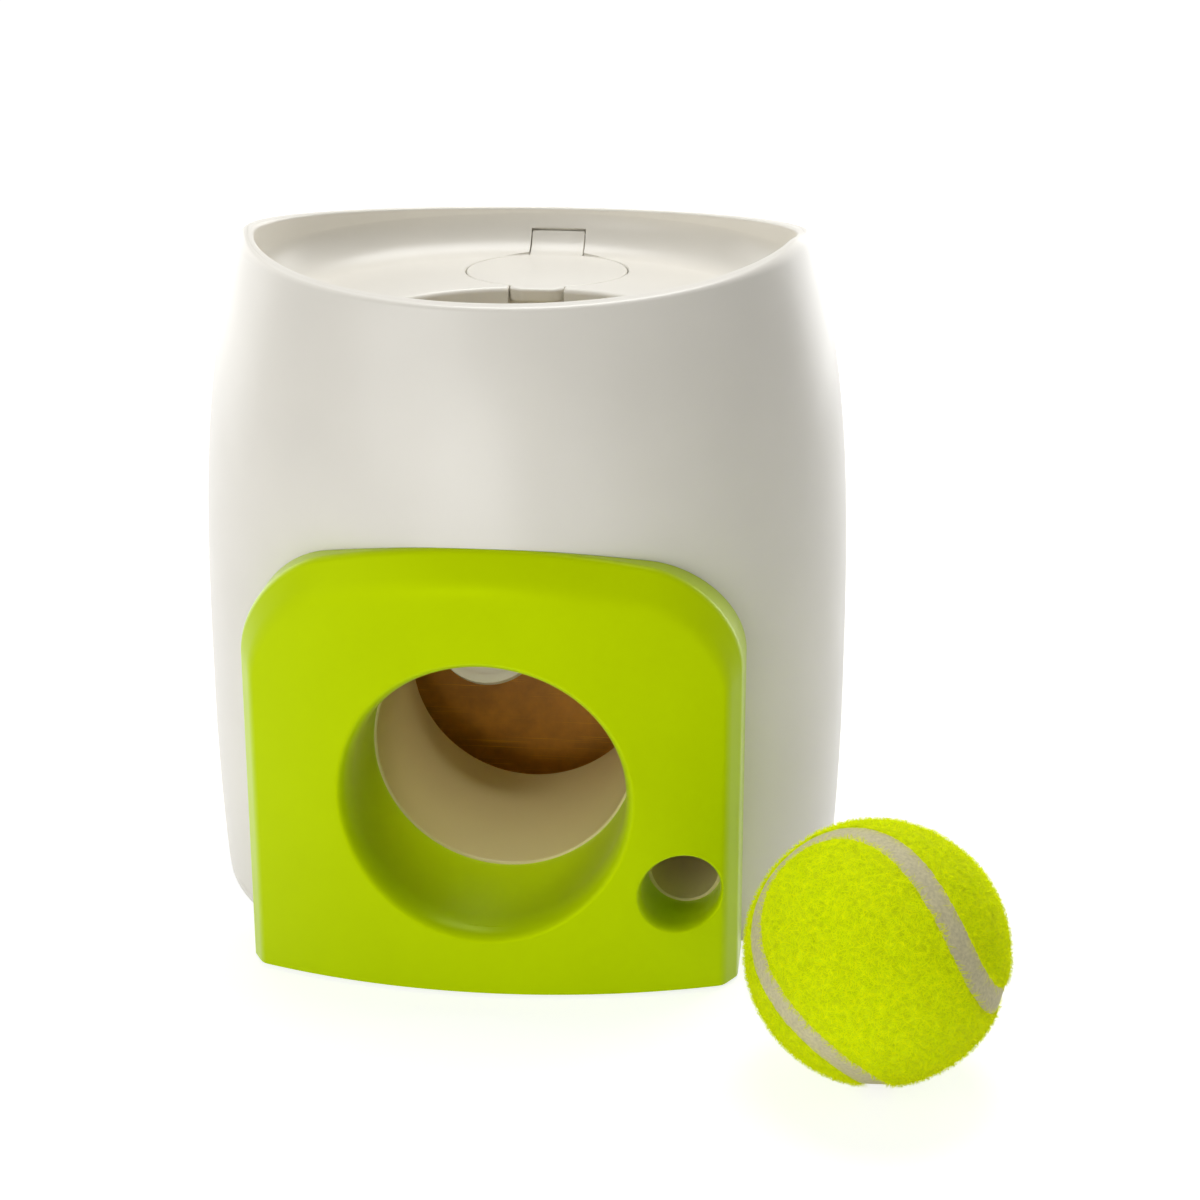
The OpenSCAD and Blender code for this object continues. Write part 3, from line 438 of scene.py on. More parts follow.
def seen_plainly(tree):
    """One for rays from the eye, straight or by a mirror or through glass; else nought."""
    path = add(tree, "ShaderNodeLightPath")
    eye = add(tree, "ShaderNodeMath", operation="MAXIMUM",
              links={0: (path, "Is Camera Ray"), 1: (path, "Is Glossy Ray")})
    return add(tree, "ShaderNodeMath", operation="MAXIMUM",
               links={0: (eye, 0), 1: (path, "Is Transmission Ray")})


def shade(colour, factor):
    """A colour made lighter or darker, with alpha."""
    return tuple(min(1, c * factor) for c in colour) + (1,)


def plain(colour):
    """A colour with alpha."""
    return tuple(colour) + (1,)


def grain(tree, spot_mm, detail, roughness=0.5):
    """Noise in the object's own space: one spot size, or three for streaks along an axis."""
    place = add(tree, "ShaderNodeTexCoord")
    scale = [1 / (spot * MM) for spot in np.broadcast_to(spot_mm, 3)]
    spread = add(tree, "ShaderNodeMapping", {"Scale": scale}, {"Vector": (place, "Object")})
    return add(tree, "ShaderNodeTexNoise",
               {"Scale": 1.0, "Detail": detail, "Roughness": roughness},
               {"Vector": (spread, "Vector")})


def ranged(tree, source, **limits):
    """A noise brought to other limits, such as to_min and to_max."""
    inputs = {key.replace("_", " ").title(): value for key, value in limits.items()}
    return add(tree, "ShaderNodeMapRange", inputs, {"Value": (source, "Fac")})


def toned(tree, source, colour, low, high, stops=(0.3, 0.7)):
    """A colour that a noise makes darker and lighter, by two factors between two stops."""
    node = add(tree, "ShaderNodeValToRGB", links={"Fac": (source, "Fac")})
    for element, stop, factor in zip(node.color_ramp.elements, stops, (low, high)):
        element.position = stop
        element.color = shade(colour, factor)
    return node


def raised(tree, source, strength, deep_mm):
    """A noise as fine relief."""
    return add(tree, "ShaderNodeBump", {"Strength": strength, "Distance": deep_mm * MM},
               {"Height": (source, "Fac")})


def moulded(name, colour, rough, peel_mm, peel_deep, shine=WHITE):
    """Injection-moulded plastic: even colour, soft flow marks, a skin that breaks highlights."""
    material, tree = start(name)
    # Flow marks a few centimetres long shift the tone by a few per cent.
    tone = toned(tree, grain(tree, 45, 2.0), colour, 0.96, 1.02)
    # Handling leaves the gloss uneven, so highlights are a little cloudy.
    gloss = ranged(tree, grain(tree, 18, 4.0), to_min=rough * 0.85, to_max=rough * 1.2)
    # The mould's skin is a very shallow orange peel.
    peel = raised(tree, grain(tree, peel_mm, 2.0), 0.25, peel_deep)
    surface = add(tree, "ShaderNodeBsdfPrincipled", {"IOR": 1.54, "Specular Tint": shine},
                  {"Base Color": (tone, "Color"), "Roughness": (gloss, "Result"),
                   "Normal": (peel, "Normal")})
    return finished(material, surface)


def brown_board(name, colour):
    """Moulded brown plate: cloudy amber tone, level scuffs and a satin surface."""
    material, tree = start(name)
    # Clouds of pigment about 12 mm across shift the tone from amber to brown.
    tone = toned(tree, grain(tree, 12, 4.0, 0.6), colour, 0.72, 1.15)
    # The ball's rubbing leaves level scuffs about 0.4 mm high and 30 mm long.
    scuff = grain(tree, (30, 30, 0.4), 2.0)
    share = ranged(tree, scuff, from_min=0.62, from_max=0.74)
    worn = add(tree, "ShaderNodeMix", {"B": shade(colour, 1.7)},
               {"Factor": (share, "Result"), "A": (tone, "Color")}, data_type="RGBA")
    relief = raised(tree, scuff, 0.3, 0.02)
    surface = add(tree, "ShaderNodeBsdfPrincipled", {"IOR": 1.5, "Roughness": 0.42},
                  {"Base Color": (worn, "Result"), "Normal": (relief, "Normal")})
    return finished(material, surface)


def drawn_steel(name, colour):
    """Drawn steel: bright, with fine scratches that stretch the highlights."""
    material, tree = start(name)
    gloss = ranged(tree, grain(tree, (4, 0.2, 0.2), 2.0), to_min=0.22, to_max=0.38)
    surface = add(tree, "ShaderNodeBsdfPrincipled",
                  {"Base Color": plain(colour), "Metallic": 1.0}, {"Roughness": (gloss, "Result")})
    return finished(material, surface)


def cured_rubber(name, colour, rough, grain_mm):
    """Cured rubber: matt, with a fine grain that kills most of the highlight."""
    material, tree = start(name)
    fine = grain(tree, grain_mm, 4.0)
    tone = toned(tree, fine, colour, 0.82, 1.1, (0.3, 0.72))
    relief = raised(tree, fine, 0.5, 0.06)
    surface = add(tree, "ShaderNodeBsdfPrincipled", {"IOR": 1.52, "Roughness": rough},
                  {"Base Color": (tone, "Color"), "Normal": (relief, "Normal")})
    return finished(material, surface)


def needled_felt(name, colour, low, high, through=0.0):
    """Needled felt: no highlight, a soft sheen, and loose fibres that light shines through."""
    material, tree = start(name)
    # Clumps of nap about 1.6 mm across catch the light differently.
    clump = grain(tree, 1.6, 5.0, 0.65)
    tone = toned(tree, clump, colour, low, high, (0.28, 0.72))
    relief = raised(tree, clump, 0.8, 0.25)
    surface = add(tree, "ShaderNodeBsdfPrincipled",
                  {"IOR": 1.5, "Roughness": 0.95, "Specular IOR Level": 0.15,
                   "Sheen Weight": 1.0, "Sheen Roughness": 0.35, "Sheen Tint": shade(colour, 1.3)},
                  {"Base Color": (tone, "Color"), "Normal": (relief, "Normal")})
    thin = add(tree, "ShaderNodeBsdfTranslucent", links={"Color": (tone, "Color")})
    mixed = add(tree, "ShaderNodeMixShader", {0: through}, {1: (surface, 0), 2: (thin, 0)})
    return finished(material, mixed)


def materials(context):
    """All materials by the slot they fill, made once and then found by name."""
    c = context.scene.dispenser.colours
    made = {
        "white_plastic": (moulded, "abs_white_moulded_satin", c.white, 0.31, 0.9, 0.012),
        "ivory": (moulded, "abs_ivory_moulded_satin", c.ivory, 0.34, 0.9, 0.012),
        "lime_plastic": (moulded, "abs_lime_moulded_gloss", c.lime, 0.3, 1.4, 0.010, plain(c.lime)),
        "brown_plastic": (brown_board, "pp_brown_moulded_scuffed", c.brown),
        "gear_plastic": (moulded, "acetal_natural_moulded", c.gear, 0.34, 0.7, 0.01),
        "steel": (drawn_steel, "steel_drawn_bright", c.steel),
        "foot_rubber": (cured_rubber, "rubber_grey_cured", c.rubber, 0.8, 0.5),
        "core_rubber": (cured_rubber, "rubber_core_cured", c.rubber, 0.85, 0.6),
        # The felt skin is the felt colour darkened to 0.7 to 1.0 as painted shade under the nap;
        # the loose fibres are the same felt lightened to 1.0 to 1.3 as painted light on the nap.
        "felt": (needled_felt, "felt_needled_brushed", c.felt, 0.7, 1.0),
        "fibre": (needled_felt, "felt_fibre_loose", c.felt, 1.0, 1.3, 0.5),
        "seam_rubber": (cured_rubber, "rubber_seam_vulcanised", c.seam, 0.75, 0.8),
    }
    return {slot: bpy.data.materials.get(name) or build(name, *looks)
            for slot, (build, name, *looks) in made.items()}


# Shapes of the moulded body

def barrel_r(b, z):
    """Outer radius of the barrel at a height."""
    z = np.asarray(z, dtype=float)
    up = np.clip((z - b.belly_z) / (b.horn_z - b.belly_z), 0, None)
    down = np.clip((b.belly_z - z) / b.belly_z, 0, None)
    return b.width / 2 - b.top_in * up ** 3.26 - b.foot_in * down ** 2


def rim_z(b, y):
    """Height of the rim, which falls from its two tips to the front and to the rear."""
    return b.horn_z - b.rim_fall / 100 * np.hypot(np.asarray(y) + b.tip_front, b.tip_soft)


def rim_lip(b, angle):
    """Width and height of the rim's rounding: small in front and behind, full at the two tips."""
    tip_reach, tip_share = 26, 0.9
    from_tip = b.tip_front - (b.width / 2 - b.top_in) * np.cos(angle)
    tip = np.exp(-(from_tip / tip_reach) ** 2)
    return b.edge + (tip_share * b.wall - b.edge) * tip, b.edge + (b.tip_edge - b.edge) * tip


def stack(angle, sections):
    """Rings of points from (radius, height) pairs, each one number or one for every angle."""
    return [np.stack([r * np.sin(angle), -r * np.cos(angle), z + 0 * angle], axis=1)
            for r, z in sections]


def rim_rows(b, angle, outside, inside, outer, inner):
    """The rim of a wall from outside to inside, each edge rounded by a width and a height."""
    rows = []
    for inset, side, (wide, high) in ((outside, 1, outer), (inside, -1, inner)):
        sharp = np.max(high) < 0.1
        steps = np.radians((0, 90) if sharp else np.linspace(0, 90, 10))
        for a in steps[::side]:
            z = np.full_like(angle, b.horn_z)
            # Radius and height depend on each other, and settle in a few rounds.
            for _ in range(8):
                r = barrel_r(b, z) - inset - side * wide * (1 - math.cos(a))
                z = rim_z(b, -r * np.cos(angle)) - high * (1 - math.sin(a))
            rows.append((r, z))
    return rows


def barrel_shell(b):
    """The body shell: a tube whose rim falls from two tips."""
    angle = np.linspace(0, math.tau, ROUND, endpoint=False)
    rim = rim_rows(b, angle, 0, b.wall, rim_lip(b, angle), (b.seam, b.seam))
    foot_edge = 0.35
    low = b.foot_z + foot_edge
    rows = [(barrel_r(b, low) - foot_edge * (1 - math.sin(a)), low - foot_edge * math.cos(a))
            for a in np.radians([0, 45, 90])]
    for u in np.linspace(0, 1, 64)[1:-1]:
        z = low + u * (rim[0][1] - low)
        rows.append((barrel_r(b, z), z))
    rows += rim
    for u in np.linspace(0, 1, 30)[1:]:
        z = rim[-1][1] - u * (rim[-1][1] - b.foot_z)
        rows.append((barrel_r(b, z) - b.wall, z))
    return skin("shell", stack(angle, rows), closed=True)


def barrel_solid(b, grow, z0, z1):
    """The barrel as a full solid, for cutting a piece that sits against it."""
    profile = [(float(barrel_r(b, z)) + grow, z) for z in np.linspace(z0, z1, 60)]
    return turned("barrel_solid", profile, segments=ROUND)


def bowl_fillet(b):
    """Middle of the bowl's fillet, as radius and height."""
    z = b.floor_z + b.fillet
    return float(barrel_r(b, z)) - b.wall - b.gap - b.wall - b.fillet, z


def bowl_tray(b):
    """The bowl with its skirt, before anything is cut from it."""
    angle = np.linspace(0, math.tau, ROUND, endpoint=False)
    outside, inside = b.wall + b.seam, 2 * b.wall + b.gap
    rim = rim_rows(b, angle, outside, inside, (b.seam, b.seam), rim_lip(b, angle))
    mid_r, mid_z = bowl_fillet(b)
    rows = []
    for u in np.linspace(0, 1, 16)[:-1]:
        z = b.skirt_z + u * (rim[0][1] - b.skirt_z)
        rows.append((barrel_r(b, z) - outside, z))
    rows += rim
    for u in np.linspace(0, 1, 8)[1:]:
        z = rim[-1][1] - u * (rim[-1][1] - mid_z)
        rows.append((barrel_r(b, z) - inside, z))
    rows += arc((mid_r, mid_z), b.fillet, 0, -90, 20)[1:]
    hub = 4.0
    rows += [(r, b.floor_z) for r in (mid_r * 0.66, mid_r * 0.33, hub)]
    rows += [(r, b.floor_z - b.wall) for r in (hub, mid_r * 0.5, mid_r)]
    under, overhang = b.fillet + b.wall, 0.9
    end = -math.degrees(math.acos((b.fillet + overhang) / under))
    rows += arc((mid_r, mid_z), under, -90, end, 8)[1:]
    rows.append((barrel_r(b, b.skirt_z) - inside, b.skirt_z))
    return skin("tray", stack(angle, rows), closed=True)


def funnel(m, b, grow, top, foot, foot_r):
    """Rings of the ball's funnel, from the bowl's floor to the throat and on down."""
    angle = np.linspace(0, math.tau, BORE, endpoint=False)
    levels = [(m.r + grow, -m.forward, top), (m.r + grow, -m.forward, b.floor_z - m.lip)]
    for u in np.linspace(0, 1, 10)[1:]:
        ease = u * u * (3 - 2 * u)
        levels.append((m.r + grow + (m.throat_r - m.r) * ease,
                       -m.forward + (m.forward - m.throat_forward) * ease,
                       b.floor_z - m.lip + u * (m.throat_z - b.floor_z + m.lip)))
    levels.append((foot_r, -m.throat_forward, m.throat_z - 0.02))
    levels.append((foot_r, -m.throat_forward, foot))
    return [[(r * math.cos(a), y + r * math.sin(a), z) for a in angle] for r, y, z in levels]


def arm_section(b, h, grow):
    """Section of the hatch arm with its knuckle, from the floor up the bowl's wall to the pin."""
    mid = bowl_fillet(b)
    pin = (h.pin_y, h.pin_z)
    knuckle = h.knuckle + grow
    outer, inner = ([p for p in run if math.dist(p, pin) > knuckle
                     and p[0] >= mid[0] + 1 and p[1] < h.pin_z]
                    for run in (arc(mid, b.fillet + h.thick + grow, -86, -10, 60),
                                arc(mid, b.fillet, -10, -85, 60)))
    first = math.degrees(math.atan2(outer[-1][1] - pin[1], outer[-1][0] - pin[0]))
    last = math.degrees(math.atan2(inner[0][1] - pin[1], inner[0][0] - pin[0])) % 360
    # Where the knuckle would stand out of the bowl's fillet, it is brought flush.
    roll = []
    for y, z in arc(pin, knuckle, first, last, 18)[1:-1]:
        out = max(1, b.fillet / math.dist((y, z), mid))
        roll.append((mid[0] + (y - mid[0]) * out, mid[1] + (z - mid[1]) * out))
    return outer, roll, inner


# Operators

class DISPENSER_OT_barrel(bpy.types.Operator):
    """Build the moulded body shell with its sloping rim."""

    bl_idname = "dispenser.barrel"
    bl_label = "Body shell"

    def execute(self, context):
        b, p = in_mm(context, "barrel", "panel")
        shell = barrel_shell(b)
        room, reach = p.collar + 1.2, 120
        for x, z, r in ((0, p.exit_z, p.exit_r), (p.treat_x, p.treat_z, p.treat_r)):
            combine(shell, "DIFFERENCE", lying("hole", r + room, 0, reach, x, z, 96))
        smooth(shell)
        piece(shell, "housing", "white_plastic", materials(context)["white_plastic"], "body_shell")
        return {"FINISHED"}


class DISPENSER_OT_tray(bpy.types.Operator):
    """Build the bowl with the ball's mouth, the hatch seat and the finger notch."""

    bl_idname = "dispenser.tray"
    bl_label = "Bowl"

    def execute(self, context):
        b, m, h = in_mm(context, "barrel", "mouth", "hatch")
        tray = bowl_tray(b)
        combine(tray, "UNION", *self.added(b, m, h), self.pin_block(b, h))
        combine(tray, "DIFFERENCE", *self.mouth(b, m), *self.seat(b, h), self.pocket(b, h),
                self.notch(b, h))
        smooth(tray)
        piece(tray, "housing", "white_plastic", materials(context)["white_plastic"], "top_tray")
        return {"FINISHED"}

    @staticmethod
    def added(b, m, h):
        """Solids under the bowl's floor: round the funnel, the finger notch and the lid's seat."""
        wall, sink = 2, 0.7
        half, seat_r = h.tab / 2 + h.clearance + wall, h.r + 2.75
        block = skin("block", funnel(m, b, b.wall, b.floor_z - 0.8, m.sleeve_z, m.sleeve_r))
        walls = mesh_box("walls", (-half, -m.throat_forward, h.notch_z - wall),
                         (half, h.back - h.r + 4, b.floor_z - sink))
        rest = turned("rest", [(seat_r, b.floor_z - REST_DEEP), (seat_r, b.floor_z - 1)],
                      (0, h.back), BORE)
        return block, walls, rest

    @staticmethod
    def mouth(b, m):
        """Cutters of the ball's way: the funnel, the drop tube's socket and the rounded lip."""
        bore = skin("bore", funnel(m, b, 0, b.floor_z + 30, m.sleeve_z - 5, m.throat_r))
        socket_r = m.sleeve_r - b.wall
        socket = turned("socket", [(socket_r, m.sleeve_z - 4), (socket_r, m.throat_z - 0.1)],
                        (0, -m.throat_forward), BORE)
        lip_r, inner, above = m.r + m.lip, m.r - 2, b.floor_z + 8
        lip = [(inner, b.floor_z - m.lip)]
        lip += arc((lip_r, b.floor_z - m.lip), m.lip, 180, 90, 8)
        lip += [(lip_r, above), (inner, above)]
        return bore, socket, turned("lip", lip, (0, -m.forward), BORE)

    @staticmethod
    def seat(b, h):
        """Cutters of the lid's seat, with a softened edge, and of the opening under it."""
        r, above = h.r + h.clearance, b.floor_z + 4
        seat = [(r, b.floor_z - h.thick - 0.2), (r, b.floor_z - 0.5), (r + 0.12, b.floor_z - 0.2),
                (r + 0.45, b.floor_z + 0.05), (r + 0.45, above)]
        opening = [(h.opening_r, b.floor_z - 30), (h.opening_r, above)]
        return (turned("seat", seat, (0, h.back), BORE),
                turned("opening", opening, (0, h.back)))

    @staticmethod
    def pocket(b, h):
        """Cutter of the pocket in the bowl's wall that the hinge arm lies and turns in."""
        outer, knuckle, inner = arm_section(b, h, h.clearance)
        relief = arc((h.pin_y, h.pin_z), h.relief, 90, 180, 10)
        section = outer + knuckle[:len(knuckle) // 2] + relief + [(inner[-1][0], h.pin_z)]
        return across("pocket", section, h.arm / 2 + h.clearance)

    @staticmethod
    def pin_block(b, h):
        """The block behind the bowl's wall that holds the hinge pin."""
        mid_r, mid_z = bowl_fillet(b)
        half, above, sink = h.arm / 2 + h.clearance + h.grip, 4, 0.6
        block = mesh_box("pin_block", (-half, mid_r - 4, b.floor_z - REST_DEEP),
                         (half, b.width / 2, h.pin_z + above))
        inside = -b.wall - b.gap - 0.4
        combine(block, "INTERSECT", barrel_solid(b, inside, b.skirt_z, h.pin_z + 2 * above))
        hollow = [(mid_r - 12, b.floor_z - sink)]
        hollow += arc((mid_r, mid_z), b.fillet + sink, -90, 0, 16)
        hollow.append((mid_r + b.fillet + sink, b.horn_z))
        return combine(block, "DIFFERENCE", turned("hollow", hollow, segments=ROUND))

    @staticmethod
    def notch(b, h):
        """The hollow in front of the lid that lets a finger under the tab."""
        half, edge = h.tab / 2 + h.clearance, h.notch_edge
        front, back = h.tab_front - 4, h.back - h.r + 2
        levels = [(0.0, h.notch_z), (0.0, b.floor_z - edge)]
        levels += [(edge * (1 - math.cos(a)), b.floor_z - edge + edge * math.sin(a))
                   for a in np.radians([22.5, 45, 67.5, 90])]
        levels.append((edge, b.floor_z + 4))
        rings = [[(-half - grow, front, z), (half + grow, front, z),
                  (half + grow, back, z), (-half - grow, back, z)] for grow, z in levels]
        return skin("notch", rings)


class DISPENSER_OT_hatch(bpy.types.Operator):
    """Build the filler lid with its hinge arm and finger tab."""

    bl_idname = "dispenser.hatch"
    bl_label = "Hatch lid"

    def execute(self, context):
        b, h = in_mm(context, "barrel", "hatch")
        top, low = b.floor_z, b.floor_z - h.thick
        edge, arm_edge, sink = 0.55, 0.35, 0.02
        disc = [(h.r - 0.5, low)] + arc((h.r - edge, top - edge), edge, 0, 90, 6)
        lid = turned("lid", disc, (0, h.back), BORE)
        outer, knuckle, inner = arm_section(b, h, 0)
        root = h.back + h.r - 6
        section = [(root, low + sink)] + outer + knuckle + inner + [(root, top - sink)]
        combine(lid, "UNION", across("arm", section, h.arm / 2, arm_edge),
                self.tongue(h, top - 1.5 * sink))
        smooth(lid)
        piece(lid, "hatch", "white_plastic", materials(context)["white_plastic"], "hatch_lid")
        return {"FINISHED"}

    @staticmethod
    def tongue(h, top):
        """The finger tab: a tongue with round front corners and soft edges."""
        edge, back = h.tab_edge, h.back - h.r + 3
        low = top - h.tab_thick
        levels = [(a, low + edge + edge * math.sin(a)) for a in np.radians(np.linspace(-90, 0, 6))]
        levels += [(a, top - edge + edge * math.sin(a)) for a in np.radians(np.linspace(0, 90, 6))]
        rings = []
        for a, z in levels:
            inset = edge * (1 - math.cos(a))
            half, r = h.tab / 2 + h.clearance / 2 - inset, h.tab_corner - inset
            front = h.tab_front + inset
            plan = [(-half, back)] + arc((r - half, front + r), r, 180, 270, 10)
            plan += arc((half - r, front + r), r, 270, 360, 10) + [(half, back)]
            rings.append([(x, y, z) for x, y in plan])
        return skin("tongue", rings)


def face_y(p, x):
    """Where the panel's curved face stands at a side offset."""
    return p.face_r - p.front - np.sqrt(p.face_r ** 2 - np.asarray(x, dtype=float) ** 2)


def panel_path(p, inset):
    """The panel's outline from its left foot over the top to its right foot, as (x, z) points."""
    side = inset * p.bevel_side / p.bevel
    w, top, corner = p.width / 2 - side, p.height - inset, p.corner - side
    left = [(-w, z) for z in np.linspace(p.foot, top - corner, 40, endpoint=False)]
    left += arc((-w + corner, top - corner), corner, 180, 90, 24)
    left += [(x, top) for x in np.linspace(-w + corner, 0, 30, endpoint=False)[1:]]
    path = np.array(left + [(0, top)] + [(-x, z) for x, z in reversed(left)])
    path[:, 1] -= np.maximum(0, path[:, 1]) / top * path[:, 0] ** 2 / (2 * p.arch)
    path[0, 1] = path[-1, 1] = p.foot
    return path


def blend(corner, before, after, count):
    """A soft turn from one straight run into another."""
    rows = []
    for t in np.linspace(0, 1, count):
        rows.append((1 - t) ** 2 * before + 2 * t * (1 - t) * corner + t * t * after)
    return rows


class DISPENSER_OT_front_panel(bpy.types.Operator):
    """Build the bevelled front panel with its flared ball and treat holes."""

    bl_idname = "dispenser.front_panel"
    bl_label = "Front panel"

    def execute(self, context):
        p, b = in_mm(context, "panel", "barrel")
        panel = self.plate(p)
        combine(panel, "DIFFERENCE", barrel_solid(b, b.gap, -2, p.height + 20))
        holes = ((0, p.exit_z, p.exit_r, p.exit_flare, p.exit_soft, p.exit_deep),
                 (p.treat_x, p.treat_z, p.treat_r, p.treat_flare, p.treat_soft, p.treat_deep))
        for x, z, r, _, _, deep in holes:
            near_face = -face_y(p, x) - 5
            combine(panel, "UNION", lying("collar", r + p.collar, deep, near_face, x, z))
        combine(panel, "DIFFERENCE", *[self.flared(p, *hole) for hole in holes])
        smooth(panel)
        piece(panel, "housing", "lime_plastic", materials(context)["lime_plastic"], "front_panel")
        return {"FINISHED"}

    @staticmethod
    def plate(p):
        """The plate with a sloping border blended into its curved face."""
        run = math.hypot(p.bevel, p.bevel_depth)
        slope = np.array([p.bevel, -p.bevel_depth]) / run
        outer, inner = np.array([0, p.bevel_depth]), np.array([p.bevel, 0])
        rim_soft = 1.6
        levels = blend(outer, outer + (0, rim_soft), outer + slope * rim_soft, 6)
        levels += blend(inner, inner - slope * p.soft, inner + (p.soft, 0), 9)
        base = panel_path(p, 0)
        rings = [np.stack([base[:, 0], 0 * base[:, 0] - p.back, base[:, 1]], axis=1)]
        for inset, depth in levels:
            x, z = panel_path(p, inset).T
            rings.append(np.stack([x, face_y(p, x) + depth, z], axis=1))
        count = len(base)
        verts = list(np.concatenate(rings))
        faces = quads(len(rings), count, wrap_cols=False)
        last = (len(rings) - 1) * count
        # The face is filled with level rows from the left side to the right.
        half, cols = count // 2, 64
        rows = [[last + k] for k in range(half + 1)]
        for k in range(half):
            left, right = rings[-1][k], rings[-1][count - 1 - k]
            for x in np.linspace(left[0], right[0], cols)[1:-1]:
                rows[k].append(len(verts))
                verts.append(np.array([x, float(face_y(p, x)), left[2]]))
            rows[k].append(last + count - 1 - k)
        for k in range(half - 1):
            low, high = rows[k], rows[k + 1]
            faces += [(low[j], low[j + 1], high[j + 1], high[j]) for j in range(cols - 1)]
        low, peak = rows[half - 1], rows[half][0]
        faces += [(low[j], low[j + 1], peak) for j in range(cols - 1)]
        foot = [i * count for i in range(len(rings))] + rows[0][1:-1]
        foot += [i * count + count - 1 for i in reversed(range(len(rings)))]
        faces += [tuple(foot), tuple(range(count))]
        return mesh_object("panel", verts, faces)

    @staticmethod
    def flared(p, x, z, r, flare, soft, deep):
        """A bore through the panel whose rounded edge follows the curved face."""
        angle = np.linspace(0, math.tau, BORE, endpoint=False)
        past_back, past_front = 10, 12

        def ring(radius, behind_face=0, y=None):
            side = x + radius * np.cos(angle)
            depth = face_y(p, side) + behind_face if y is None else y + 0 * angle
            return np.stack([side, depth, z + radius * np.sin(angle)], axis=1)

        grid = [ring(r, y=past_back - deep)]
        grid += [ring(r + flare * (1 - math.cos(a)), soft * (1 - math.sin(a)))
                 for a in np.radians(np.linspace(0, 90, 14))]
        grid.append(ring(r + flare, y=-p.front - past_front))
        return skin("bore", grid)


class DISPENSER_OT_passages(bpy.types.Operator):
    """Build the ball tunnel behind the exit and finish the tubes that stay as they are."""

    bl_idname = "dispenser.passages"
    bl_label = "Passages"

    def execute(self, context):
        t, p, m = in_mm(context, "passage", "panel", "mouth")
        made = materials(context)
        r, wall, edge = t.tunnel_r, t.tunnel_wall, 0.7
        length = t.tunnel_front + t.tunnel_back
        profile = [(r + wall, length), (r + wall, edge)]
        profile += arc((r + wall - edge, edge), edge, -15, -90, 5)
        profile += arc((r + edge, edge), edge, -90, -180, 6) + [(r, length)]
        angle = np.linspace(0, math.tau, 144, endpoint=False)
        grid = []
        for radius, along in profile:
            z = p.exit_z + t.fall * (along / length)
            grid.append([(radius * math.cos(a), along - t.tunnel_front, z + radius * math.sin(a))
                         for a in angle])
        tunnel = skin("tunnel", grid, closed=True)
        above = p.exit_z + 60
        drop = turned("drop", [(t.drop_r, p.exit_z), (t.drop_r, above)], (0, -m.throat_forward))
        slot = mesh_box("slot", (-t.slot_left, -t.slot_front, p.exit_z + 10),
                        (t.slot_right, 40, above))
        combine(tunnel, "DIFFERENCE", drop, slot)
        smooth(tunnel)
        # The tunnel and the tubes take the white plastic darkened to beige, a painted shade of the
        # body's inside.
        piece(tunnel, "housing", "white_plastic", made["ivory"], "ball_tunnel")
        for node in ("drop_tube", "treat_chute", "hopper"):
            finish_cad(node, made["ivory"])
        return {"FINISHED"}


class DISPENSER_OT_mechanism(bpy.types.Operator):
    """Finish the base, the frame, the trigger and the dosing drum."""

    bl_idname = "dispenser.mechanism"
    bl_label = "Mechanism and base"

    def execute(self, context):
        made = materials(context)
        for slot, edge, nodes in (
                ("white_plastic", 0.5, ("base_plate",)),
                ("foot_rubber", 0.5, ("foot_ring",)),
                ("brown_plastic", 0.3, ("mechanism_frame",)),
                ("gear_plastic", 0.25, ("pivot_bushes", "trigger_paddle", "shaft_collar",
                                        "sector_gear", "dose_drum", "drum_pinion", "axle_collar")),
                ("steel", 0.15, ("hatch_pin", "base_screws", "hopper_screws", "frame_screws",
                                 "paddle_shaft", "return_weight", "drum_axle")),
                ("core_rubber", 0.2, ("ball_core",))):
            for node in nodes:
                finish_cad(node, made[slot], edge)
        return {"FINISHED"}


def seam_curve(count):
    """The seam of the ball as unit vectors, the same closed curve the felt panels are cut by."""
    t = np.linspace(0, math.tau, count, endpoint=False)
    a, b = 0.78, 0.22
    return np.stack([a * np.cos(t) + b * np.cos(3 * t), a * np.sin(t) - b * np.sin(3 * t),
                     2 * math.sqrt(a * b) * np.sin(2 * t)], axis=1)


def cube_sphere(n):
    """Unit vectors and faces of a sphere made from six square grids."""
    line = np.tan(np.linspace(-math.pi / 4, math.pi / 4, n + 1))
    u, v = np.meshgrid(line, line, indexing="ij")
    one = np.ones_like(u)
    sides = [(one, u, v), (-one, v, u), (v, one, u), (u, -one, v), (u, v, one), (v, u, -one)]
    verts, faces = [], []
    for side in sides:
        grid = np.stack(side, axis=-1).reshape(-1, 3)
        base = len(verts) * (n + 1) ** 2
        verts.append(grid / np.linalg.norm(grid, axis=1, keepdims=True))
        faces += [tuple(base + i for i in face) for face in quads(n + 1, n + 1, wrap_cols=False)]
    return np.concatenate(verts), faces


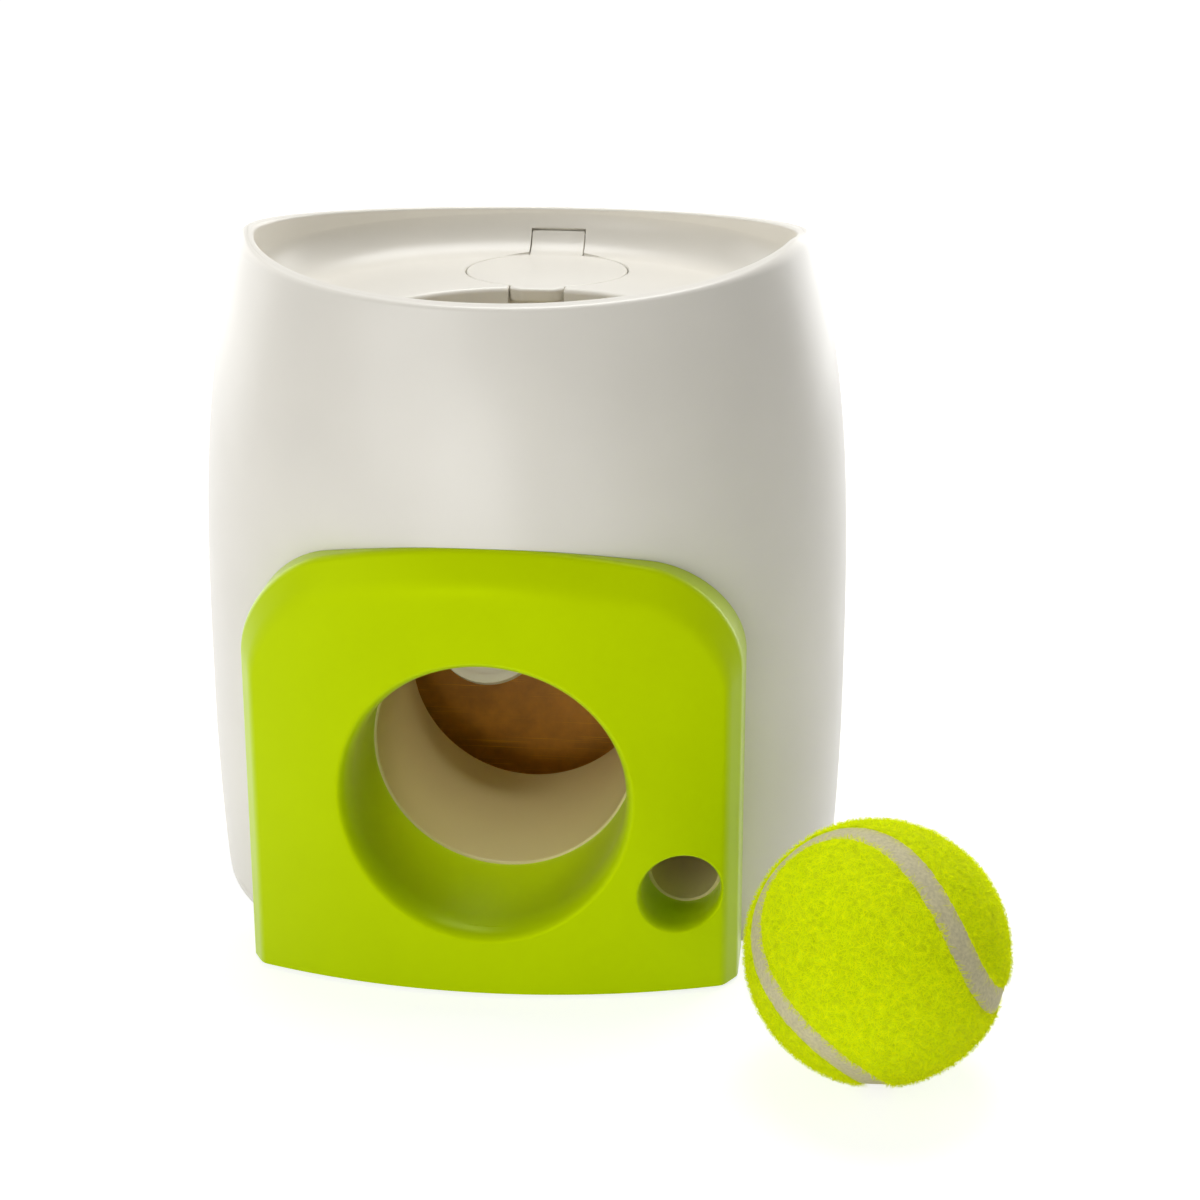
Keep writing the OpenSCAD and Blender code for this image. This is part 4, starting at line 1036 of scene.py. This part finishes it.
class DISPENSER_OT_ball(bpy.types.Operator):
    """Build the felt ball: two felt panels with a nap, and the seam between them."""

    bl_idname = "dispenser.ball"
    bl_label = "Felt ball"

    def execute(self, context):
        [ball] = in_mm(context, "ball")
        made = materials(context)
        place = Matrix.Translation(Vector((ball.x, -ball.forward, ball.r)) * MM)
        turn = Matrix.Identity(4)
        for degrees, axis in ((-142.7, "Z"), (1.4, "Y"), (57.2, "X")):
            turn = turn @ Matrix.Rotation(math.radians(degrees), 4, axis)
        felt, roots = self.panels(ball)
        for obj, slot, material, node in (
                (felt, "felt", made["felt"], "ball_felt"),
                (self.fibres(ball, roots), "felt", made["fibre"], "ball_felt"),
                (self.seam(ball), "seam_rubber", made["seam_rubber"], "ball_seam")):
            obj.data.transform(place @ turn)
            piece(obj, "ball", slot, material, node)
        return {"FINISHED"}

    @staticmethod
    def panels(ball):
        """The felt skin, cut back from the seam with soft edges, and where its fibres root."""
        curve = seam_curve(2400)
        tree = kdtree.KDTree(len(curve))
        for i, point in enumerate(curve):
            tree.insert(point, i)
        tree.balance()
        verts, faces = cube_sphere(112)
        felt_r = ball.r - ball.nap * 0.5
        half = ball.seam / 2
        away = np.array([tree.find(v)[2] for v in verts]) * felt_r
        spots = [Vector(v) for v in verts]
        ragged = np.array([0.18 * noise.noise(v * 38) + 0.10 * noise.noise(v * 90) for v in spots])
        lumps = np.array([0.20 * noise.fractal(v * 9, 1, 2, 3) + 0.10 * noise.noise(v * 42)
                          for v in spots])
        tuck, edge_soft, skin_mm = 0.35, 1.3, 0.6
        keep = [f for f in faces if all(away[i] > half - tuck for i in f)]
        edge = np.clip((away - half + ragged) / edge_soft, 0, 1)
        rise = np.sqrt(1 - (1 - edge) ** 2)
        radius = felt_r - ball.seam_deep * (1 - rise) + lumps * rise
        skin_obj = mesh_object("felt", verts * radius[:, None], keep)
        thick = skin_obj.modifiers.new("thickness", "SOLIDIFY")
        thick.thickness = skin_mm * MM
        thick.offset = -1
        settle(skin_obj)
        smooth(skin_obj, 180)
        return skin_obj, (verts, radius, away - half)

    @staticmethod
    def fibres(ball, roots):
        """Loose fibres of the nap: thin bent ribbons that lean in all directions."""
        verts, radius, room = roots
        rng = np.random.default_rng(SEED)
        count = 52000
        pick = rng.choice(np.flatnonzero(room > -0.2), count)
        normal = unit(verts[pick] + rng.normal(0, 0.006, (count, 3)))
        side = unit(np.cross(normal, rng.normal(0, 1, (count, 3))))
        other = np.cross(normal, side)
        length = ball.fibre * rng.uniform(0.35, 1.0, count)[:, None]
        lift = rng.uniform(0.1, 1.0, count)[:, None] ** 1.5 * ball.nap
        bend = rng.normal(0, 0.35, count)[:, None] * length
        width = ball.fibre_w * rng.uniform(0.5, 1.0, count)[:, None] / 2
        rooted = 0.12
        root = normal * (radius[pick][:, None] - rooted)
        middle = root + side * length * 0.5 + normal * lift * 0.8 + other * bend * 0.3
        tip = root + side * length * 0.95 + normal * (lift * 0.75 - 0.05) + other * bend
        wide, slim = other * width, other * width * 0.8
        points = np.stack([root - wide, root + wide, middle - slim, middle + slim, tip], axis=1)
        faces = []
        for i in range(0, count * 5, 5):
            faces += [(i, i + 1, i + 3, i + 2), (i + 2, i + 3, i + 4)]
        mesh = bpy.data.meshes.new("nap")
        mesh.from_pydata((points.reshape(-1, 3) * MM).tolist(), [], faces)
        obj = bpy.data.objects.new("nap", mesh)
        bpy.context.scene.collection.objects.link(obj)
        mesh.shade_smooth()
        return obj

    @staticmethod
    def seam(ball):
        """The seam as a closed strip round the ball, slightly hollow across its width."""
        curve = seam_curve(720)
        ahead = np.roll(curve, -1, axis=0) - np.roll(curve, 1, axis=0)
        side = unit(np.cross(curve, ahead))
        r = ball.r - ball.nap * 0.5 - ball.seam_deep + 0.35
        half = ball.seam / 2 + 0.5
        section = ((-1, -0.7), (-1, 0), (-0.55, -0.03), (0, -0.06), (0.55, -0.03), (1, 0),
                   (1, -0.7), (0, -0.8))
        rows = []
        for u, rise in section:
            point = unit(curve * r + side * (u * half))
            shift = Vector((u, 0, 0))
            wave = np.array([0.08 * noise.noise(Vector(c) * 14 + shift) for c in curve])
            on_top = rise > -0.5
            rows.append(point * (r + rise + wave * on_top)[:, None])
        strip = skin("seam", rows, closed=True)
        return smooth(strip, 40)


def aim(obj, target):
    """Turn a lamp or camera to look at a point in millimetres."""
    way = Vector(target) * MM - obj.location
    obj.rotation_euler = way.to_track_quat("-Z", "Y").to_euler()


class DISPENSER_OT_stage(bpy.types.Operator):
    """Set the floor, the light and the camera."""

    bl_idname = "dispenser.stage"
    bl_label = "Stage"

    def execute(self, context):
        scene = context.scene
        scene.view_settings.view_transform = "Standard"
        staged = [self.floor(scene.dispenser.colours.floor), self.camera(scene)]
        # Name, place and width in millimetres, and watts
        for name, place, width, power in (
                ("key_front_left", (-500, -700, 360), 620, 1.8),
                ("fill_low", (-160, -870, 20), 500, 2.3),
                ("fill_right", (330, -700, 60), 320, 0.35),
                ("edge_left", (-680, 480, 240), 800, 2.1),
                ("edge_right", (460, 760, 240), 800, 3.0),
                ("top", (60, 260, 900), 620, 5.3)):
            lamp = bpy.data.lights.new(name, "AREA")
            lamp.shape = "DISK"
            lamp.size = width * MM
            lamp.energy = power
            obj = bpy.data.objects.new(name, lamp)
            obj.location = Vector(place) * MM
            aim(obj, (0, 0, 80))
            scene.collection.objects.link(obj)
            staged.append(obj)
        self.surround(scene)
        return {"FINISHED"}

    @staticmethod
    def floor(colour):
        """A wide flat floor, pale enough to read as white and to keep shadows."""
        half = 4000
        corners = [(-half, -half, 0), (half, -half, 0), (half, half, 0), (-half, half, 0)]
        obj = mesh_object("floor", corners, [(0, 1, 2, 3)])
        material, tree = start("paper_white_matt")
        place = add(tree, "ShaderNodeTexCoord")
        # For the eye the paper is lifted towards white by a glow, fully so away from the object;
        # nearer the object the glow is weaker, a painted shade round it.
        matt = add(tree, "ShaderNodeBsdfDiffuse", {"Color": plain(colour)})
        dim = add(tree, "ShaderNodeBsdfDiffuse", {"Color": shade(colour, 0.55)})
        away = add(tree, "ShaderNodeVectorMath", operation="LENGTH",
                   links={0: (place, "Object")})
        lift = add(tree, "ShaderNodeMapRange",
                   {"From Min": 0.15, "From Max": 0.7, "To Min": 0.78, "To Max": 1.0},
                   {"Value": (away, "Value")})
        glow_with_painted_shade = add(tree, "ShaderNodeEmission", {"Color": WHITE}, {"Strength": (lift, "Result")})
        lifted = add(tree, "ShaderNodeAddShader", links={0: (dim, 0), 1: (glow_with_painted_shade, 0)})
        seen = add(tree, "ShaderNodeMixShader",
                   links={0: (seen_plainly(tree), 0), 1: (matt, 0), 2: (lifted, 0)})
        coated(obj, finished(material, seen))
        return obj

    @staticmethod
    def surround(scene):
        """White round the object for the camera, and an even soft light from everywhere."""
        world = bpy.data.worlds.new("white_room")
        scene.world = world
        world.use_nodes = True
        tree = world.node_tree
        tree.nodes.clear()
        seen = add(tree, "ShaderNodeBackground", {"Color": WHITE, "Strength": 1.0})
        light = add(tree, "ShaderNodeBackground", {"Color": (1, 0.985, 0.95, 1), "Strength": 0.15})
        mixed = add(tree, "ShaderNodeMixShader",
                    links={0: (seen_plainly(tree), 0), 1: (light, 0), 2: (seen, 0)})
        add(tree, "ShaderNodeOutputWorld", links={0: (mixed, 0)})

    @staticmethod
    def camera(scene):
        """The camera of the reference view."""
        lens = bpy.data.cameras.new("view")
        lens.lens = 75
        lens.sensor_width = 36
        lens.clip_start = 0.01
        lens.clip_end = 50
        obj = bpy.data.objects.new("view", lens)
        turn, pitch = math.radians(6.0), math.radians(19.0)
        back = Vector((math.sin(turn), -math.cos(turn), 0))
        right = Vector((math.cos(turn), math.sin(turn), 0))
        away, aside, height = 676, 20.2, 309.9
        obj.location = (back * away + right * aside + Vector((0, 0, height))) * MM
        way = -back * math.cos(pitch) - Vector((0, 0, math.sin(pitch)))
        obj.rotation_euler = way.to_track_quat("-Z", "Y").to_euler()
        scene.collection.objects.link(obj)
        scene.camera = obj
        return obj


OPERATORS = (
    DISPENSER_OT_stage,
    DISPENSER_OT_barrel,
    DISPENSER_OT_tray,
    DISPENSER_OT_hatch,
    DISPENSER_OT_front_panel,
    DISPENSER_OT_passages,
    DISPENSER_OT_mechanism,
    DISPENSER_OT_ball,
)


class DISPENSER_PT_panel(bpy.types.Panel):
    """Lists the builders and the sizes they use."""

    bl_idname = "DISPENSER_PT_panel"
    bl_label = "Dog treat dispenser"
    bl_space_type = "VIEW_3D"
    bl_region_type = "UI"
    bl_category = "Dispenser"

    def draw(self, context):
        layout = self.layout
        for operator in OPERATORS:
            layout.operator(operator.bl_idname)
        settings = context.scene.dispenser
        for name in GROUPS:
            box = layout.box()
            box.label(text=name.capitalize())
            group = getattr(settings, name)
            for key in type(group).__annotations__:
                box.prop(group, key)


CLASSES = (*GROUPS.values(), DispenserSettings, *OPERATORS, DISPENSER_PT_panel)


def register():
    for cls in CLASSES:
        bpy.utils.register_class(cls)
    bpy.types.Scene.dispenser = bpy.props.PointerProperty(
        type=DispenserSettings, name="Dispenser", description="Sizes and colours of the dispenser")


def unregister():
    del bpy.types.Scene.dispenser
    for cls in reversed(CLASSES):
        bpy.utils.unregister_class(cls)


def main():
    """Build every piece in order."""
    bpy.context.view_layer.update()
    register()
    for operator in OPERATORS:
        group, name = operator.bl_idname.split(".")
        getattr(getattr(bpy.ops, group), name)()


if __name__ == "__main__":
    main()
